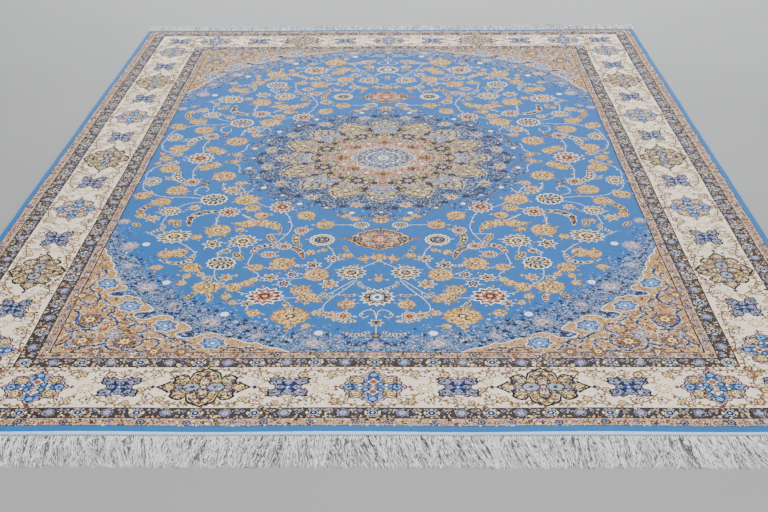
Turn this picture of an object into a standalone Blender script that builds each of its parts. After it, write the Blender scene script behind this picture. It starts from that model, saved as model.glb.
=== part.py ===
"""Persian rug with a medallion field, lying flat on a floor.

The rug is a pile cloth with an overcast binding along each long side and, at each short end, a narrow
woven end strip that carries the fringe. Metres, +Z up. X runs across the rug and Y along it, the front
end is at -Y, and the origin is on the floor under the middle of the rug.
"""

import math
import random

import bmesh
import bpy

FRONT, BACK = -1, 1
LEFT, RIGHT = -1, 1

# Driving dimensions
RUG_WIDTH = 2.50            # across both bindings, at its widest
PILE_LENGTH = 3.50          # pile cloth, end to end, at its longest
FRINGE_REACH = 1.880        # from the middle of the rug to the furthest fringe tip
PILE_HEIGHT = 0.009         # back and pile together
BINDING_WIDTH = 0.008       # overcast side cord
BINDING_DROP = 0.0008       # how far the cord's top lies under the pile's
STRIP_WIDTH = 0.014         # woven strip between the pile and the fringe
STRIP_THICKNESS = 0.003
SEAM_GAP = 0.0003           # between two pieces that touch

HALF_WIDTH = RUG_WIDTH / 2
HALF_LENGTH = PILE_LENGTH / 2

# Cells of the cloth's surface
COLUMNS = 20                # across the rug
ROWS = 36                   # along it

# Unevenness of the outline
SIDE_RIPPLE = 0.0030        # in and out along a long side
SIDE_RIPPLE_PITCH = 0.39
SIDE_DRIFT = 0.0040         # slow drift of the width
SIDE_DRIFT_PITCH = 7.0
SIDE_PHASE = {LEFT: 2.3, RIGHT: 0.4}
DRIFT_PHASE = {LEFT: 3.4, RIGHT: 1.5}
END_RIPPLE = 0.0015
END_RIPPLE_PITCH = 0.62
END_PHASE = {FRONT: 0.9, BACK: 2.7}
END_SKEW = {FRONT: 0.005, BACK: 0.008}   # an end is this much shorter at the right than at the left

# Height of the places where the cloth doesn't quite lie down
EDGE_SWELL = 0.0022
EDGE_SWELL_REACH = 0.13     # how far the edges' ripples run into the rug
BROAD_SWELL = 0.0014
BROAD_PITCH_X, BROAD_PHASE_X = 1.30, 0.7
BROAD_PITCH_Y, BROAD_PHASE_Y = 0.95, 1.9

# Section of the side cord: share of its width from the cloth, share of its height
CORD_SECTION = (
    (0.00, 0.00),
    (0.80, 0.00),
    (1.00, 0.25),
    (1.00, 0.60),
    (0.80, 0.88),
    (0.45, 1.00),
    (0.00, 0.93),
)

# Fringe
LOCKS_PER_END = 150
LOCK_SHARE = 0.66           # share of the strip's edge that the locks' roots take
RAGGED = 0.014              # the shortest lock ends this much before the longest
FRINGE_SEED = {FRONT: 10, BACK: 12}
# Rings along a lock: share of its length, width, height, share of its sideways lean
LOCK_RINGS = (
    (0.30, 0.0125, 0.0052, 0.16),
    (0.70, 0.0110, 0.0046, 0.60),
    (1.00, 0.0060, 0.0020, 1.00),
)
# Sideways lean of the locks: in the middle, gained towards the right, swing, swing's pitch and phase
LOCK_LEAN = {
    FRONT: (0.008, 0.018, 0.013, 0.95, 0.6),
    BACK: (-0.004, 0.000, 0.010, 1.10, 2.0),
}
CORNER_POWER = 8            # how suddenly the lean dies out towards the corners

# Base colour (linear), roughness, sheen
FINISHES = {
    "pile_blue": ((0.062, 0.225, 0.510), 0.62, 0.5),
    "binding_blue": ((0.075, 0.235, 0.500), 0.70, 0.2),
    "fringe_white": ((0.66, 0.69, 0.70), 0.75, 0.2),
}


def clear_scene():
    for thing in list(bpy.data.objects):
        bpy.data.objects.remove(thing, do_unlink=True)


def finish(name):
    """The Principled material of one kind of yarn."""
    colour, roughness, sheen = FINISHES[name]
    material = bpy.data.materials.new(name)
    material.use_nodes = True
    shader = material.node_tree.nodes["Principled BSDF"]
    shader.inputs["Base Color"].default_value = (*colour, 1.0)
    shader.inputs["Roughness"].default_value = roughness
    shader.inputs["Metallic"].default_value = 0.0
    shader.inputs["Sheen Weight"].default_value = sheen
    return material


def add_object(name, bm, material):
    """Makes one object of a finished bmesh, with its faces pointing out."""
    bmesh.ops.recalc_face_normals(bm, faces=bm.faces)
    mesh = bpy.data.meshes.new(name)
    bm.to_mesh(mesh)
    bm.free()
    mesh.materials.append(material)
    piece = bpy.data.objects.new(name, mesh)
    bpy.context.scene.collection.objects.link(piece)
    return piece


def wave(position, pitch, phase):
    """A wave between 0 and 1."""
    return 0.5 + 0.5 * math.cos(2 * math.pi * position / pitch + phase)


def lowered(values):
    """The same values less their smallest, so that the widest place is exactly the rug's size."""
    smallest = min(values)
    return [value - smallest for value in values]


def spread(start, end, count):
    """count + 1 evenly spaced places from start to end."""
    return [start + (end - start) * i / count for i in range(count + 1)]


def between(position, places, values):
    """Straight-line reading of a value between its neighbours."""
    for i in range(len(places) - 1):
        if position <= places[i + 1]:
            share = (position - places[i]) / (places[i + 1] - places[i])
            return values[i] + (values[i + 1] - values[i]) * share
    return values[-1]


ROW_PLACES = spread(-HALF_LENGTH, HALF_LENGTH, ROWS)
COLUMN_PLACES = spread(-HALF_WIDTH, HALF_WIDTH, COLUMNS)


def side_insets(side):
    """How far a long side's outer edge lies inside the full width, row by row."""
    return lowered([
        SIDE_RIPPLE * wave(y, SIDE_RIPPLE_PITCH, SIDE_PHASE[side])
        + SIDE_DRIFT * wave(y, SIDE_DRIFT_PITCH, DRIFT_PHASE[side])
        for y in ROW_PLACES
    ])


def end_insets(end):
    """How far an end's edge lies inside the full length, column by column."""
    return lowered([
        END_SKEW[end] * (x + HALF_WIDTH) / RUG_WIDTH
        + END_RIPPLE * wave(x, END_RIPPLE_PITCH, END_PHASE[end])
        for x in COLUMN_PLACES
    ])


SIDE_INSETS = {side: side_insets(side) for side in (LEFT, RIGHT)}
END_INSETS = {end: end_insets(end) for end in (FRONT, BACK)}


def side_edge(side, row):
    """X of the rug's outer edge, at the binding."""
    return side * (HALF_WIDTH - SIDE_INSETS[side][row])


def end_edge(end, x):
    """Y of the pile cloth's end at a place across the rug."""
    return end * (HALF_LENGTH - between(x, COLUMN_PLACES, END_INSETS[end]))


def swell(x, y):
    """Height of the cloth's slow waves over its resting thickness."""
    from_side = (HALF_WIDTH - abs(x)) / EDGE_SWELL_REACH
    from_end = (HALF_LENGTH - abs(y)) / EDGE_SWELL_REACH
    side = RIGHT if x > 0 else LEFT
    end = BACK if y > 0 else FRONT
    along_side = wave(y, SIDE_RIPPLE_PITCH, SIDE_PHASE[side]) * math.exp(-from_side**2)
    along_end = wave(x, END_RIPPLE_PITCH, END_PHASE[end]) * math.exp(-from_end**2)
    broad = wave(x, BROAD_PITCH_X, BROAD_PHASE_X) * wave(y, BROAD_PITCH_Y, BROAD_PHASE_Y)
    return EDGE_SWELL * max(along_side, along_end) + BROAD_SWELL * broad


def cloth_x(column, row):
    """X of a point of the cloth's grid, between its own left and right edge."""
    left = side_edge(LEFT, row) + BINDING_WIDTH
    right = side_edge(RIGHT, row) - BINDING_WIDTH
    return left + (right - left) * column / COLUMNS


def cloth_y(x, row):
    """Y of a point of the cloth's grid, between the front and the back edge at its x."""
    front = end_edge(FRONT, x)
    back = end_edge(BACK, x)
    return front + (back - front) * row / ROWS


def wall(bm, lower, upper):
    """Upright faces between two closed rings of points."""
    for i in range(len(lower)):
        j = (i + 1) % len(lower)
        bm.faces.new((lower[i], lower[j], upper[j], upper[i]))


def pile_cloth(material):
    """The knotted cloth: a flat underside, upright edges and a top with the cloth's slow waves."""
    bm = bmesh.new()
    top = []
    for row in range(ROWS + 1):
        line = []
        for column in range(COLUMNS + 1):
            x = cloth_x(column, row)
            y = cloth_y(x, row)
            line.append(bm.verts.new((x, y, PILE_HEIGHT + swell(x, y))))
        top.append(line)
    for line, following in zip(top, top[1:]):
        for i in range(COLUMNS):
            bm.faces.new((line[i], line[i + 1], following[i + 1], following[i]))
    front_and_right = top[0][:-1] + [line[-1] for line in top[:-1]]
    back_and_left = top[-1][:0:-1] + [line[0] for line in top[:0:-1]]
    rim = front_and_right + back_and_left
    base = [bm.verts.new((v.co.x, v.co.y, 0.0)) for v in rim]
    wall(bm, base, rim)
    bm.faces.new(base)
    return add_object("pile_cloth", bm, material)


def side_binding(side, name, material):
    """The overcast cord: flat against the cloth and on the floor, round outside and above."""
    bm = bmesh.new()
    rings = []
    for row in range(ROWS + 1):
        outer = side_edge(side, row)
        inner = outer - side * (BINDING_WIDTH - SEAM_GAP)
        y = cloth_y(inner, row)
        height = PILE_HEIGHT + swell(inner, y) - BINDING_DROP
        rings.append([
            bm.verts.new((inner + across * (outer - inner), y, up * height)) for across, up in CORD_SECTION
        ])
    for ring, following in zip(rings, rings[1:]):
        wall(bm, ring, following)
    bm.faces.new(rings[0])
    bm.faces.new(rings[-1])
    return add_object(name, bm, material)


def lock_roots(left, right):
    """Where each lock's root starts and ends along the strip's outer edge."""
    pitch = (right - left) / LOCKS_PER_END
    margin = pitch * (1 - LOCK_SHARE) / 2
    return [
        (left + k * pitch + margin, left + (k + 1) * pitch - margin) for k in range(LOCKS_PER_END)
    ]


def fringe_lean(end, x):
    """How far to the right a lock's tip lies of its root.

    Neighbours lean alike, so none of them touch, and the locks at the corners hang straight.
    """
    middle, gained, swing, pitch, phase = LOCK_LEAN[end]
    lean = middle + gained * x / HALF_WIDTH + swing * math.sin(2 * math.pi * x / pitch + phase)
    return lean * (1 - (abs(x) / HALF_WIDTH) ** CORNER_POWER)


def grow_lock(bm, root, end, tip_y):
    """Draws a lock out of its root face: it lies on the floor and narrows to its tip."""
    start = root.calc_center_median()
    lean = fringe_lean(end, start.x)
    face = root
    for share, width, height, lean_share in LOCK_RINGS:
        face = bmesh.ops.extrude_discrete_faces(bm, faces=[face])["faces"][0]
        middle = face.calc_center_median()
        for v in face.verts:
            side = RIGHT if v.co.x > middle.x else LEFT
            v.co = (
                start.x + lean * lean_share + side * width / 2,
                start.y + (tip_y - start.y) * share,
                height if v.co.z > middle.z else 0.0,
            )


def fringe(end, name, material):
    """One end's woven strip with its locks. The strip follows the cloth's uneven end."""
    row = 0 if end == FRONT else ROWS
    left = side_edge(LEFT, row)
    right = side_edge(RIGHT, row)
    roots = lock_roots(left, right)
    inner_places = [left, *COLUMN_PLACES[1:-1], right]
    outer_places = [left, *(x for root in roots for x in root), right]
    inner_edge = [(x, end_edge(end, x) + end * SEAM_GAP) for x in inner_places]
    outer_edge = [(x, end_edge(end, x) + end * STRIP_WIDTH) for x in outer_places]
    outline = outer_edge + inner_edge[::-1]

    bm = bmesh.new()
    lower = [bm.verts.new((x, y, 0.0)) for x, y in outline]
    upper = [bm.verts.new((x, y, STRIP_THICKNESS)) for x, y in outline]
    wall(bm, lower, upper)
    bm.faces.new(lower)
    bm.faces.new(upper)
    bmesh.ops.recalc_face_normals(bm, faces=bm.faces)
    bm.faces.ensure_lookup_table()

    # Every second face of the outer edge, from the second one, is a root.
    root_faces = [bm.faces[1 + 2 * k] for k in range(LOCKS_PER_END)]
    draw = random.Random(FRINGE_SEED[end])
    short = lowered([RAGGED * draw.random() for _ in roots])
    for k, root in enumerate(root_faces):
        grow_lock(bm, root, end, end * (FRINGE_REACH - short[k]))
    return add_object(name, bm, material)


def main():
    clear_scene()
    pile_cloth(finish("pile_blue"))
    binding = finish("binding_blue")
    side_binding(LEFT, "side_binding_left", binding)
    side_binding(RIGHT, "side_binding_right", binding)
    white = finish("fringe_white")
    fringe(FRONT, "fringe_front", white)
    fringe(BACK, "fringe_back", white)


main()
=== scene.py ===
"""The looks of a persian rug that lies flat on a floor.

The pattern is drawn as flat shapes of yarn for one quarter of the rug, in millimetres from its middle: x to
the side and y to the end. The shapes are cut into one mesh, mirrored to the other three quarters and laid on
the cloth's slow waves. All else is in metres, +Z up, the front end at -Y.
"""

import math
import random

import bpy
import numpy as np
from mathutils import Matrix, Vector
from mathutils.geometry import delaunay_2d_cdt


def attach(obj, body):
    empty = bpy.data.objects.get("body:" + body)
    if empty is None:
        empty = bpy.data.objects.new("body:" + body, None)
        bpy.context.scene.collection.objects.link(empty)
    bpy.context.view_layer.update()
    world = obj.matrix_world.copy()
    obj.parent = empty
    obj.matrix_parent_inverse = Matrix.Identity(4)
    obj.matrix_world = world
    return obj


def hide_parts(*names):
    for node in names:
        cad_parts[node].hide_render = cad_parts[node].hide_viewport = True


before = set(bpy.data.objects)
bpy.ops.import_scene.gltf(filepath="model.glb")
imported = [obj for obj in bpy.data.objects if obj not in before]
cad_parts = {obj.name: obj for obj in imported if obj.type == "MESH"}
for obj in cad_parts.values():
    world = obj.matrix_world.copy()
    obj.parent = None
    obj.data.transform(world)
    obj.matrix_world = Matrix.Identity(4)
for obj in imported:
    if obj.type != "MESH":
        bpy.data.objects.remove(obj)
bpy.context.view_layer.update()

FRONT, BACK = -1, 1
LEFT, RIGHT = -1, 1
SIDES = (-1, 1)
MM = 1000                       # in a metre


# ------------------------------------------------------------------------------------------------
# The pattern's tables

# Yarns: sRGB colour, and how densely fine specks of other yarns are knotted into it
YARNS = {
    "field": (22, 100, 172, 0.00),
    "band": (40, 110, 172, 0.00),
    # Not a yarn of its own: a painted highlight for the pile's rounded ends and their upright walls
    "edge_highlight": (176, 208, 238, 0.00),
    "navy": (14, 24, 66, 0.00),
    "ink": (10, 10, 16, 0.00),
    "slate": (48, 45, 46, 0.26),
    "steel": (70, 96, 146, 0.50),
    "sky": (106, 172, 232, 0.15),
    "azure": (22, 72, 150, 0.25),
    "gold": (236, 180, 86, 0.66),
    "honey": (168, 122, 58, 0.20),
    "amber": (118, 86, 42, 0.00),
    "ochre": (140, 92, 18, 0.40),
    "olive": (160, 146, 84, 0.70),
    "umber": (48, 26, 18, 0.15),
    "rust": (160, 76, 46, 0.20),
    "red": (132, 52, 58, 0.00),
    "salmon": (214, 122, 98, 0.40),
    "pink": (234, 184, 178, 0.30),
    "lavender": (152, 144, 178, 0.40),
    "purple": (48, 28, 62, 0.00),
    "grey": (160, 168, 182, 0.45),
    "pale": (222, 234, 248, 0.00),
    "white": (255, 255, 252, 0.00),
    "cream": (255, 237, 215, 0.06),
    "butter": (252, 228, 168, 0.00),
    "apricot": (194, 146, 92, 0.34),
    "tan": (197, 162, 144, 0.44),
    "halo": (10, 42, 92, 0.62),
    "inlay": (14, 34, 84, 0.40),
    "haze": (152, 150, 174, 0.60),
    "lace": (206, 208, 214, 0.95),
    "blush": (212, 150, 138, 0.80),
    "mist": (232, 228, 204, 0.95),
    "sand": (200, 178, 114, 0.90),
    "straw": (178, 142, 80, 0.85),
}

# Bands, from the rug's edge inwards: half width, half length, yarn
BANDS = (
    (1242, 1750, "band"), (1225, 1726, "slate"), (1222.5, 1723.5, "tan"), (1196, 1697.5, "tan"),
    (1193, 1695, "ink"), (1190.5, 1692.5, "slate"), (1145.5, 1650.5, "ink"), (1143, 1648, "cream"),
    (957, 1463, "ink"), (954, 1460, "slate"), (909.5, 1419, "ink"), (907, 1417, "tan"),
    (881.2, 1391.5, "ink"), (877, 1388, "field"),
)

SMALLEST_LAYER = 3.0            # finer rings than this are left out
END_HIGHLIGHT = 1.2                  # the last rows of knots before the end strip are painted paler: a painted highlight of the pile's rounded edge

ROUND, POINTED = False, True    # lobes

# Flowers as layers from the outermost: share of the radius, lobes, depth of the clefts, form, yarn
FLOWERS = {
    "gold": (
        (1.00, 13, 0.18, ROUND, "honey"), (0.93, 13, 0.19, ROUND, "gold"),
        (0.64, 9, 0.34, POINTED, "amber"), (0.54, 9, 0.22, ROUND, "gold"),
        (0.26, 6, 0.20, ROUND, "umber"), (0.15, 5, 0.16, ROUND, "butter"),
    ),
    "bud": (
        (1.00, 6, 0.34, ROUND, "honey"), (0.88, 6, 0.36, ROUND, "gold"),
        (0.40, 5, 0.30, POINTED, "amber"), (0.22, 4, 0.10, ROUND, "butter"),
    ),
    "ring": (
        (1.00, 14, 0.18, ROUND, "white"), (0.90, 14, 0.26, ROUND, "umber"),
        (0.78, 12, 0.24, ROUND, "butter"), (0.64, 12, 0.22, ROUND, "ink"),
        (0.48, 9, 0.22, ROUND, "steel"), (0.30, 7, 0.20, ROUND, "ink"), (0.18, 5, 0.20, ROUND, "gold"),
    ),
    "dark": (
        (1.00, 14, 0.24, ROUND, "white"), (0.90, 14, 0.30, ROUND, "umber"),
        (0.74, 10, 0.34, POINTED, "butter"), (0.62, 9, 0.30, POINTED, "ink"),
        (0.46, 9, 0.26, ROUND, "grey"), (0.32, 7, 0.30, POINTED, "ink"), (0.16, 5, 0.16, ROUND, "gold"),
    ),
    "spiky": (
        (1.00, 13, 0.26, POINTED, "white"), (0.91, 13, 0.30, POINTED, "umber"),
        (0.78, 11, 0.34, POINTED, "sand"), (0.62, 10, 0.34, POINTED, "umber"),
        (0.52, 9, 0.30, ROUND, "cream"), (0.40, 8, 0.30, POINTED, "ink"), (0.22, 5, 0.16, ROUND, "gold"),
    ),
    "rosy": (
        (1.00, 12, 0.24, POINTED, "white"), (0.90, 12, 0.28, POINTED, "umber"),
        (0.78, 10, 0.36, POINTED, "salmon"), (0.62, 9, 0.36, POINTED, "cream"),
        (0.48, 9, 0.30, ROUND, "rust"), (0.34, 7, 0.36, POINTED, "ink"), (0.15, 4, 0.00, ROUND, "gold"),
    ),
    "daisy": (
        (1.00, 7, 0.42, POINTED, "white"), (0.82, 7, 0.42, POINTED, "umber"),
        (0.46, 6, 0.30, ROUND, "gold"), (0.22, 4, 0.00, ROUND, "ink"),
    ),
    "plum": (
        (1.00, 7, 0.42, POINTED, "white"), (0.82, 7, 0.42, POINTED, "purple"),
        (0.34, 5, 0.30, ROUND, "pink"), (0.18, 4, 0.00, ROUND, "ink"),
    ),
    "orange": (
        (1.00, 7, 0.40, POINTED, "white"), (0.86, 7, 0.40, POINTED, "umber"),
        (0.66, 7, 0.30, ROUND, "gold"), (0.30, 5, 0.16, ROUND, "rust"),
    ),
    "haze": (
        (1.00, 9, 0.30, ROUND, "haze"), (0.56, 7, 0.34, POINTED, "pink"),
        (0.26, 4, 0.00, ROUND, "lavender"),
    ),
    "pill": (
        (1.00, 8, 0.12, ROUND, "white"), (0.40, 4, 0.10, ROUND, "pale"),
    ),
    "lilac": (
        (1.00, 8, 0.24, ROUND, "lavender"), (0.88, 8, 0.28, ROUND, "purple"),
        (0.74, 8, 0.30, ROUND, "lavender"), (0.40, 6, 0.44, POINTED, "pale"),
        (0.22, 4, 0.10, ROUND, "purple"),
    ),
    "slatey": (
        (1.00, 6, 0.26, ROUND, "slate"), (0.70, 6, 0.34, ROUND, "lavender"),
        (0.32, 4, 0.00, ROUND, "navy"),
    ),
    "red": (
        (1.00, 6, 0.34, ROUND, "red"), (0.46, 6, 0.20, ROUND, "tan"),
    ),
    "brown": (
        (1.00, 6, 0.40, POINTED, "umber"), (0.50, 5, 0.20, ROUND, "honey"),
    ),
    "ochre": (
        (1.00, 9, 0.20, ROUND, "azure"), (0.90, 9, 0.22, ROUND, "ochre"),
        (0.66, 9, 0.42, POINTED, "umber"), (0.46, 7, 0.34, POINTED, "butter"),
        (0.20, 5, 0.20, ROUND, "rust"),
    ),
    "spray": (
        (1.00, 6, 0.42, ROUND, "amber"), (0.70, 5, 0.30, ROUND, "butter"),
        (0.34, 4, 0.00, ROUND, "honey"),
    ),
    "wreath": (
        (1.00, 11, 0.34, POINTED, "amber"), (0.78, 10, 0.24, ROUND, "butter"),
        (0.54, 9, 0.26, POINTED, "honey"), (0.40, 7, 0.10, ROUND, "white"),
    ),
    "bloom": (
        (1.00, 8, 0.24, ROUND, "umber"), (0.86, 8, 0.26, ROUND, "sand"),
        (0.50, 7, 0.40, POINTED, "umber"), (0.36, 6, 0.20, ROUND, "butter"),
        (0.16, 4, 0.00, ROUND, "red"),
    ),
    "violet": (
        (1.00, 8, 0.26, ROUND, "purple"), (0.88, 8, 0.28, ROUND, "lavender"),
        (0.50, 6, 0.34, POINTED, "navy"), (0.30, 5, 0.20, ROUND, "pink"),
    ),
}

# Flowers of the field: kind, x, y, radius, then where it isn't plain, stretch along x and turn in degrees
FIELD_FLOWERS = (
    ("gold", 0, 550, 30), ("bud", 118, 522, 22), ("bud", 88, 545, 20), ("dark", 64, 592, 26, 1.1),
    ("gold", 184, 590, 33), ("ring", 186, 702, 43), ("rosy", 258, 632, 27, 1, 40),
    ("gold", 252, 516, 34), ("gold", 392, 573, 28, 1.2), ("gold", 440, 580, 30, 1, 20),
    ("bud", 348, 604, 22), ("gold", 534, 630, 46), ("spiky", 440, 710, 50),
    ("spiky", 670, 676, 52, 1.15, 10), ("bud", 596, 680, 22), ("daisy", 536, 732, 36),
    ("rosy", 348, 806, 26), ("rosy", 304, 748, 26, 1, 30), ("gold", 300, 870, 43),
    ("gold", 380, 894, 24, 1.1), ("dark", 490, 865, 46, 1.05), ("gold", 576, 896, 32),
    ("gold", 632, 795, 32, 0.9), ("gold", 674, 804, 30, 0.9, 30), ("bud", 687, 894, 20, 1.2),
    ("daisy", 144, 835, 27), ("daisy", 203, 878, 28, 1.1), ("gold", 189, 944, 42),
    ("spiky", 83, 930, 48), ("plum", 262, 942, 23), ("daisy", 329, 962, 29),
    ("plum", 283, 1000, 26, 1, 15), ("orange", 146, 1004, 32), ("bud", 376, 974, 16),
    ("gold", 232, 1040, 30, 1.1), ("gold", 206, 1086, 30, 1.1, 40), ("bud", 176, 1100, 18),
    ("orange", 462, 960, 26, 0.9), ("bud", 543, 940, 16), ("daisy", 519, 963, 18, 1.1),
    ("bud", 583, 950, 18, 0.8), ("bud", 592, 995, 19), ("gold", 511, 1020, 42, 1.1),
    ("gold", 430, 1022, 28), ("bud", 394, 998, 22), ("rosy", 330, 1077, 56, 1.05),
    ("daisy", 378, 1120, 22), ("bud", 444, 1078, 19), ("bud", 420, 1116, 16, 0.8),
    ("gold", 87, 1129, 28), ("gold", 245, 1195, 52, 1.12), ("bud", 352, 1176, 23),
    ("bud", 170, 1178, 18, 1.1), ("rosy", 94, 1196, 26), ("orange", 130, 1190, 24),
    ("daisy", 0, 1234, 24), ("brown", 0, 1303, 18), ("bud", 196, 1252, 16), ("bud", 246, 1256, 14),
    ("bud", 0, 972, 20, 0.8), ("gold", 0, 828, 26), ("bud", 48, 836, 20), ("bud", 99, 815, 22),
    ("bud", 174, 774, 15, 0.8), ("bud", 216, 792, 21, 0.8), ("bud", 462, 626, 18), ("bud", 474, 582, 16),
    ("daisy", 486, 782, 20), ("gold", 404, 514, 26), ("gold", 632, 70, 30), ("gold", 664, 94, 27, 1, 30),
    ("rosy", 691, 0, 60, 0.9), ("orange", 786, 43, 24), ("gold", 822, 0, 24, 1.2),
    ("gold", 790, 103, 38, 1.1), ("bud", 556, 34, 19, 1.3), ("gold", 578, 175, 46),
    ("rosy", 688, 229, 36, 0.9), ("daisy", 776, 194, 18), ("spiky", 832, 219, 42, 0.85),
    ("bud", 846, 50, 18, 0.8), ("bud", 508, 240, 23, 1.1), ("brown", 636, 242, 20),
    ("orange", 528, 296, 32), ("gold", 727, 302, 42), ("gold", 838, 345, 34), ("gold", 468, 385, 46),
    ("dark", 583, 382, 50), ("gold", 764, 400, 34, 1.1), ("gold", 440, 455, 28, 1.1),
    ("orange", 640, 450, 26, 0.9), ("spiky", 720, 480, 40), ("bud", 814, 512, 24),
    ("orange", 770, 536, 28, 1.1), ("rosy", 516, 487, 40), ("rosy", 339, 447, 48), ("bud", 700, 560, 16),
)

# Flowers in the haze: kind, x, y, radius
HAZE_FLOWERS = (
    ("pill", 749, 732, 13), ("pill", 637, 992, 13), ("pill", 433, 1183, 13), ("pill", 159, 1290, 13),
    ("haze", 801, 744, 34), ("haze", 689, 1019, 34), ("haze", 467, 1228, 34), ("haze", 171, 1343, 34),
    ("haze", 860, 560, 24), ("haze", 775, 880, 22), ("haze", 590, 1130, 22), ("haze", 330, 1300, 22),
    ("haze", 0, 1355, 26),
)

# Leaves: yarn inside, half width, points of the midline from the stem to the tip
FIELD_LEAVES = (
    ("gold", 13, ((259, 640), (272, 680), (266, 722), (246, 750))),
    ("pink", 14, ((400, 800), (385, 756), (345, 738), (318, 742))),
    ("rust", 13, ((300, 752), (264, 766), (243, 800), (236, 838))),
    ("gold", 15, ((436, 566), (384, 566), (345, 590), (326, 650))),
    ("umber", 17, ((555, 481), (604, 492), (640, 532), (636, 600))),
    ("gold", 14, ((756, 392), (800, 430), (824, 480), (812, 536))),
    ("cream", 15, ((752, 128), (748, 182), (716, 226), (668, 262))),
    ("cream", 12, ((583, 806), (592, 846), (628, 866), (682, 850))),
    ("gold", 14, ((358, 664), (356, 680), (344, 706), (340, 720))),
    ("gold", 14, ((450, 790), (450, 806), (434, 834), (430, 846))),
    ("gold", 14, ((673, 550), (680, 566), (676, 594), (669, 606))),
    ("gold", 13, ((822, 566), (818, 580), (806, 596), (804, 606))),
    ("cream", 9, ((20, 1282), (40, 1298), (66, 1300), (94, 1284))),
    ("cream", 8, ((120, 1206), (96, 1226), (62, 1224), (56, 1222))),
    ("gold", 7, ((104, 748), (110, 760), (98, 786), (97, 788))),
    ("honey", 7, ((104, 1068), (88, 1076), (62, 1070), (60, 1069))),
    ("gold", 10, ((505, 1060), (490, 1080), (492, 1106), (494, 1108))),
    ("gold", 10, ((535, 1052), (546, 1070), (562, 1092), (564, 1094))),
    ("gold", 7, ((262, 1108), (268, 1124), (260, 1142), (259, 1143))),
    ("white", 9, ((226, 884), (250, 884), (268, 874), (270, 872))),
    ("cream", 10, ((727, 585), (720, 612), (742, 636), (760, 656))),
    ("cream", 11, ((470, 318), (500, 334), (546, 318), (570, 262))),
    ("gold", 9, ((555, 40), (572, 44), (594, 34), (596, 33))),
    ("pale", 9, ((130, 1078), (150, 1084), (160, 1060), (160, 1056))),
)

# Vines: points of the midline
FIELD_VINES = (
    ((74, 980), (106, 1020), (140, 1062), (178, 1082)),
    ((66, 980), (90, 1026), (128, 1083), (152, 1132), (150, 1172), (118, 1190)),
    ((0, 852), (28, 876), (60, 905)),
    ((166, 742), (144, 790), (142, 826), (150, 882), (172, 914)),
    ((226, 962), (270, 970), (306, 964)),
    ((304, 664), (294, 600), (316, 510), (334, 480)),
    ((306, 664), (326, 712), (338, 744)),
    ((300, 662), (336, 658), (370, 664)),
    ((398, 806), (406, 866), (388, 912), (366, 940), (372, 968)),
    ((472, 752), (504, 784), (508, 822)),
    ((504, 910), (494, 966), (456, 1012), (404, 1056), (380, 1062)),
    ((230, 1088), (280, 1088)),
    ((646, 720), (602, 764), (578, 812), (596, 858), (640, 872), (690, 842)),
    ((724, 516), (730, 578), (716, 634), (692, 654)),
    ((0, 1214), (6, 1170), (26, 1162), (48, 1188), (34, 1206), (22, 1194)),
    ((0, 1254), (0, 1292)),
    ((96, 590), (152, 590)),
    ((470, 506), (428, 546), (412, 566)),
    ((556, 530), (546, 588)),
    ((558, 50), (532, 90), (532, 134)),
    ((806, 50), (846, 86), (866, 136), (862, 196)),
    ((862, 240), (846, 292), (802, 334), (758, 360), (684, 362), (632, 372)),
    ((622, 314), (616, 288), (640, 272), (662, 298), (656, 330), (634, 348)),
    ((456, 280), (470, 318), (520, 330), (562, 296), (572, 236)),
    ((548, 520), (550, 586)),
    ((424, 556), (470, 510)),
    ((628, 400), (672, 420), (700, 450)),
    ((758, 110), (770, 160), (752, 210), (710, 240)),
    ((690, 62), (700, 120), (690, 196)),
    ((508, 262), (490, 300), (470, 340)),
    ((388, 450), (420, 420), (440, 404)),
    ((444, 762), (440, 800), (462, 832)),
    ((576, 930), (590, 962), (590, 980)),
    ((246, 1144), (262, 1110), (290, 1092)),
    ((770, 640), (742, 664), (720, 676)),
)

# Edge of the corner piece, from the side of the field to its end
SPANDREL_EDGE = (
    (877, 760), (866, 778), (862, 800), (842, 822), (838, 850), (820, 872), (818, 905), (800, 925),
    (800, 952), (782, 966), (792, 986), (826, 994), (838, 1010), (806, 1012), (778, 1006), (752, 1017),
    (752, 1040), (792, 1052), (790, 1072), (756, 1078), (734, 1070), (716, 1082), (694, 1088),
    (690, 1108), (668, 1122), (646, 1148), (646, 1166), (682, 1170), (694, 1186), (680, 1206),
    (650, 1212), (630, 1196), (604, 1190), (578, 1200), (572, 1220), (548, 1228), (524, 1250),
    (516, 1270), (544, 1280), (556, 1296), (536, 1312), (504, 1312), (484, 1296), (456, 1286),
    (430, 1300), (424, 1316), (392, 1316), (368, 1332), (340, 1342), (322, 1340), (300, 1360),
    (274, 1366), (250, 1378), (231, 1388),
)

# Blue cartouches and grey lace lumps in the corner piece: x, y
CARTOUCHES = ((812, 997), (714, 1135), (592, 1247), (445, 1340))
LACE_LUMPS = ((768, 1060), (658, 1192), (518, 1292))

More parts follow.
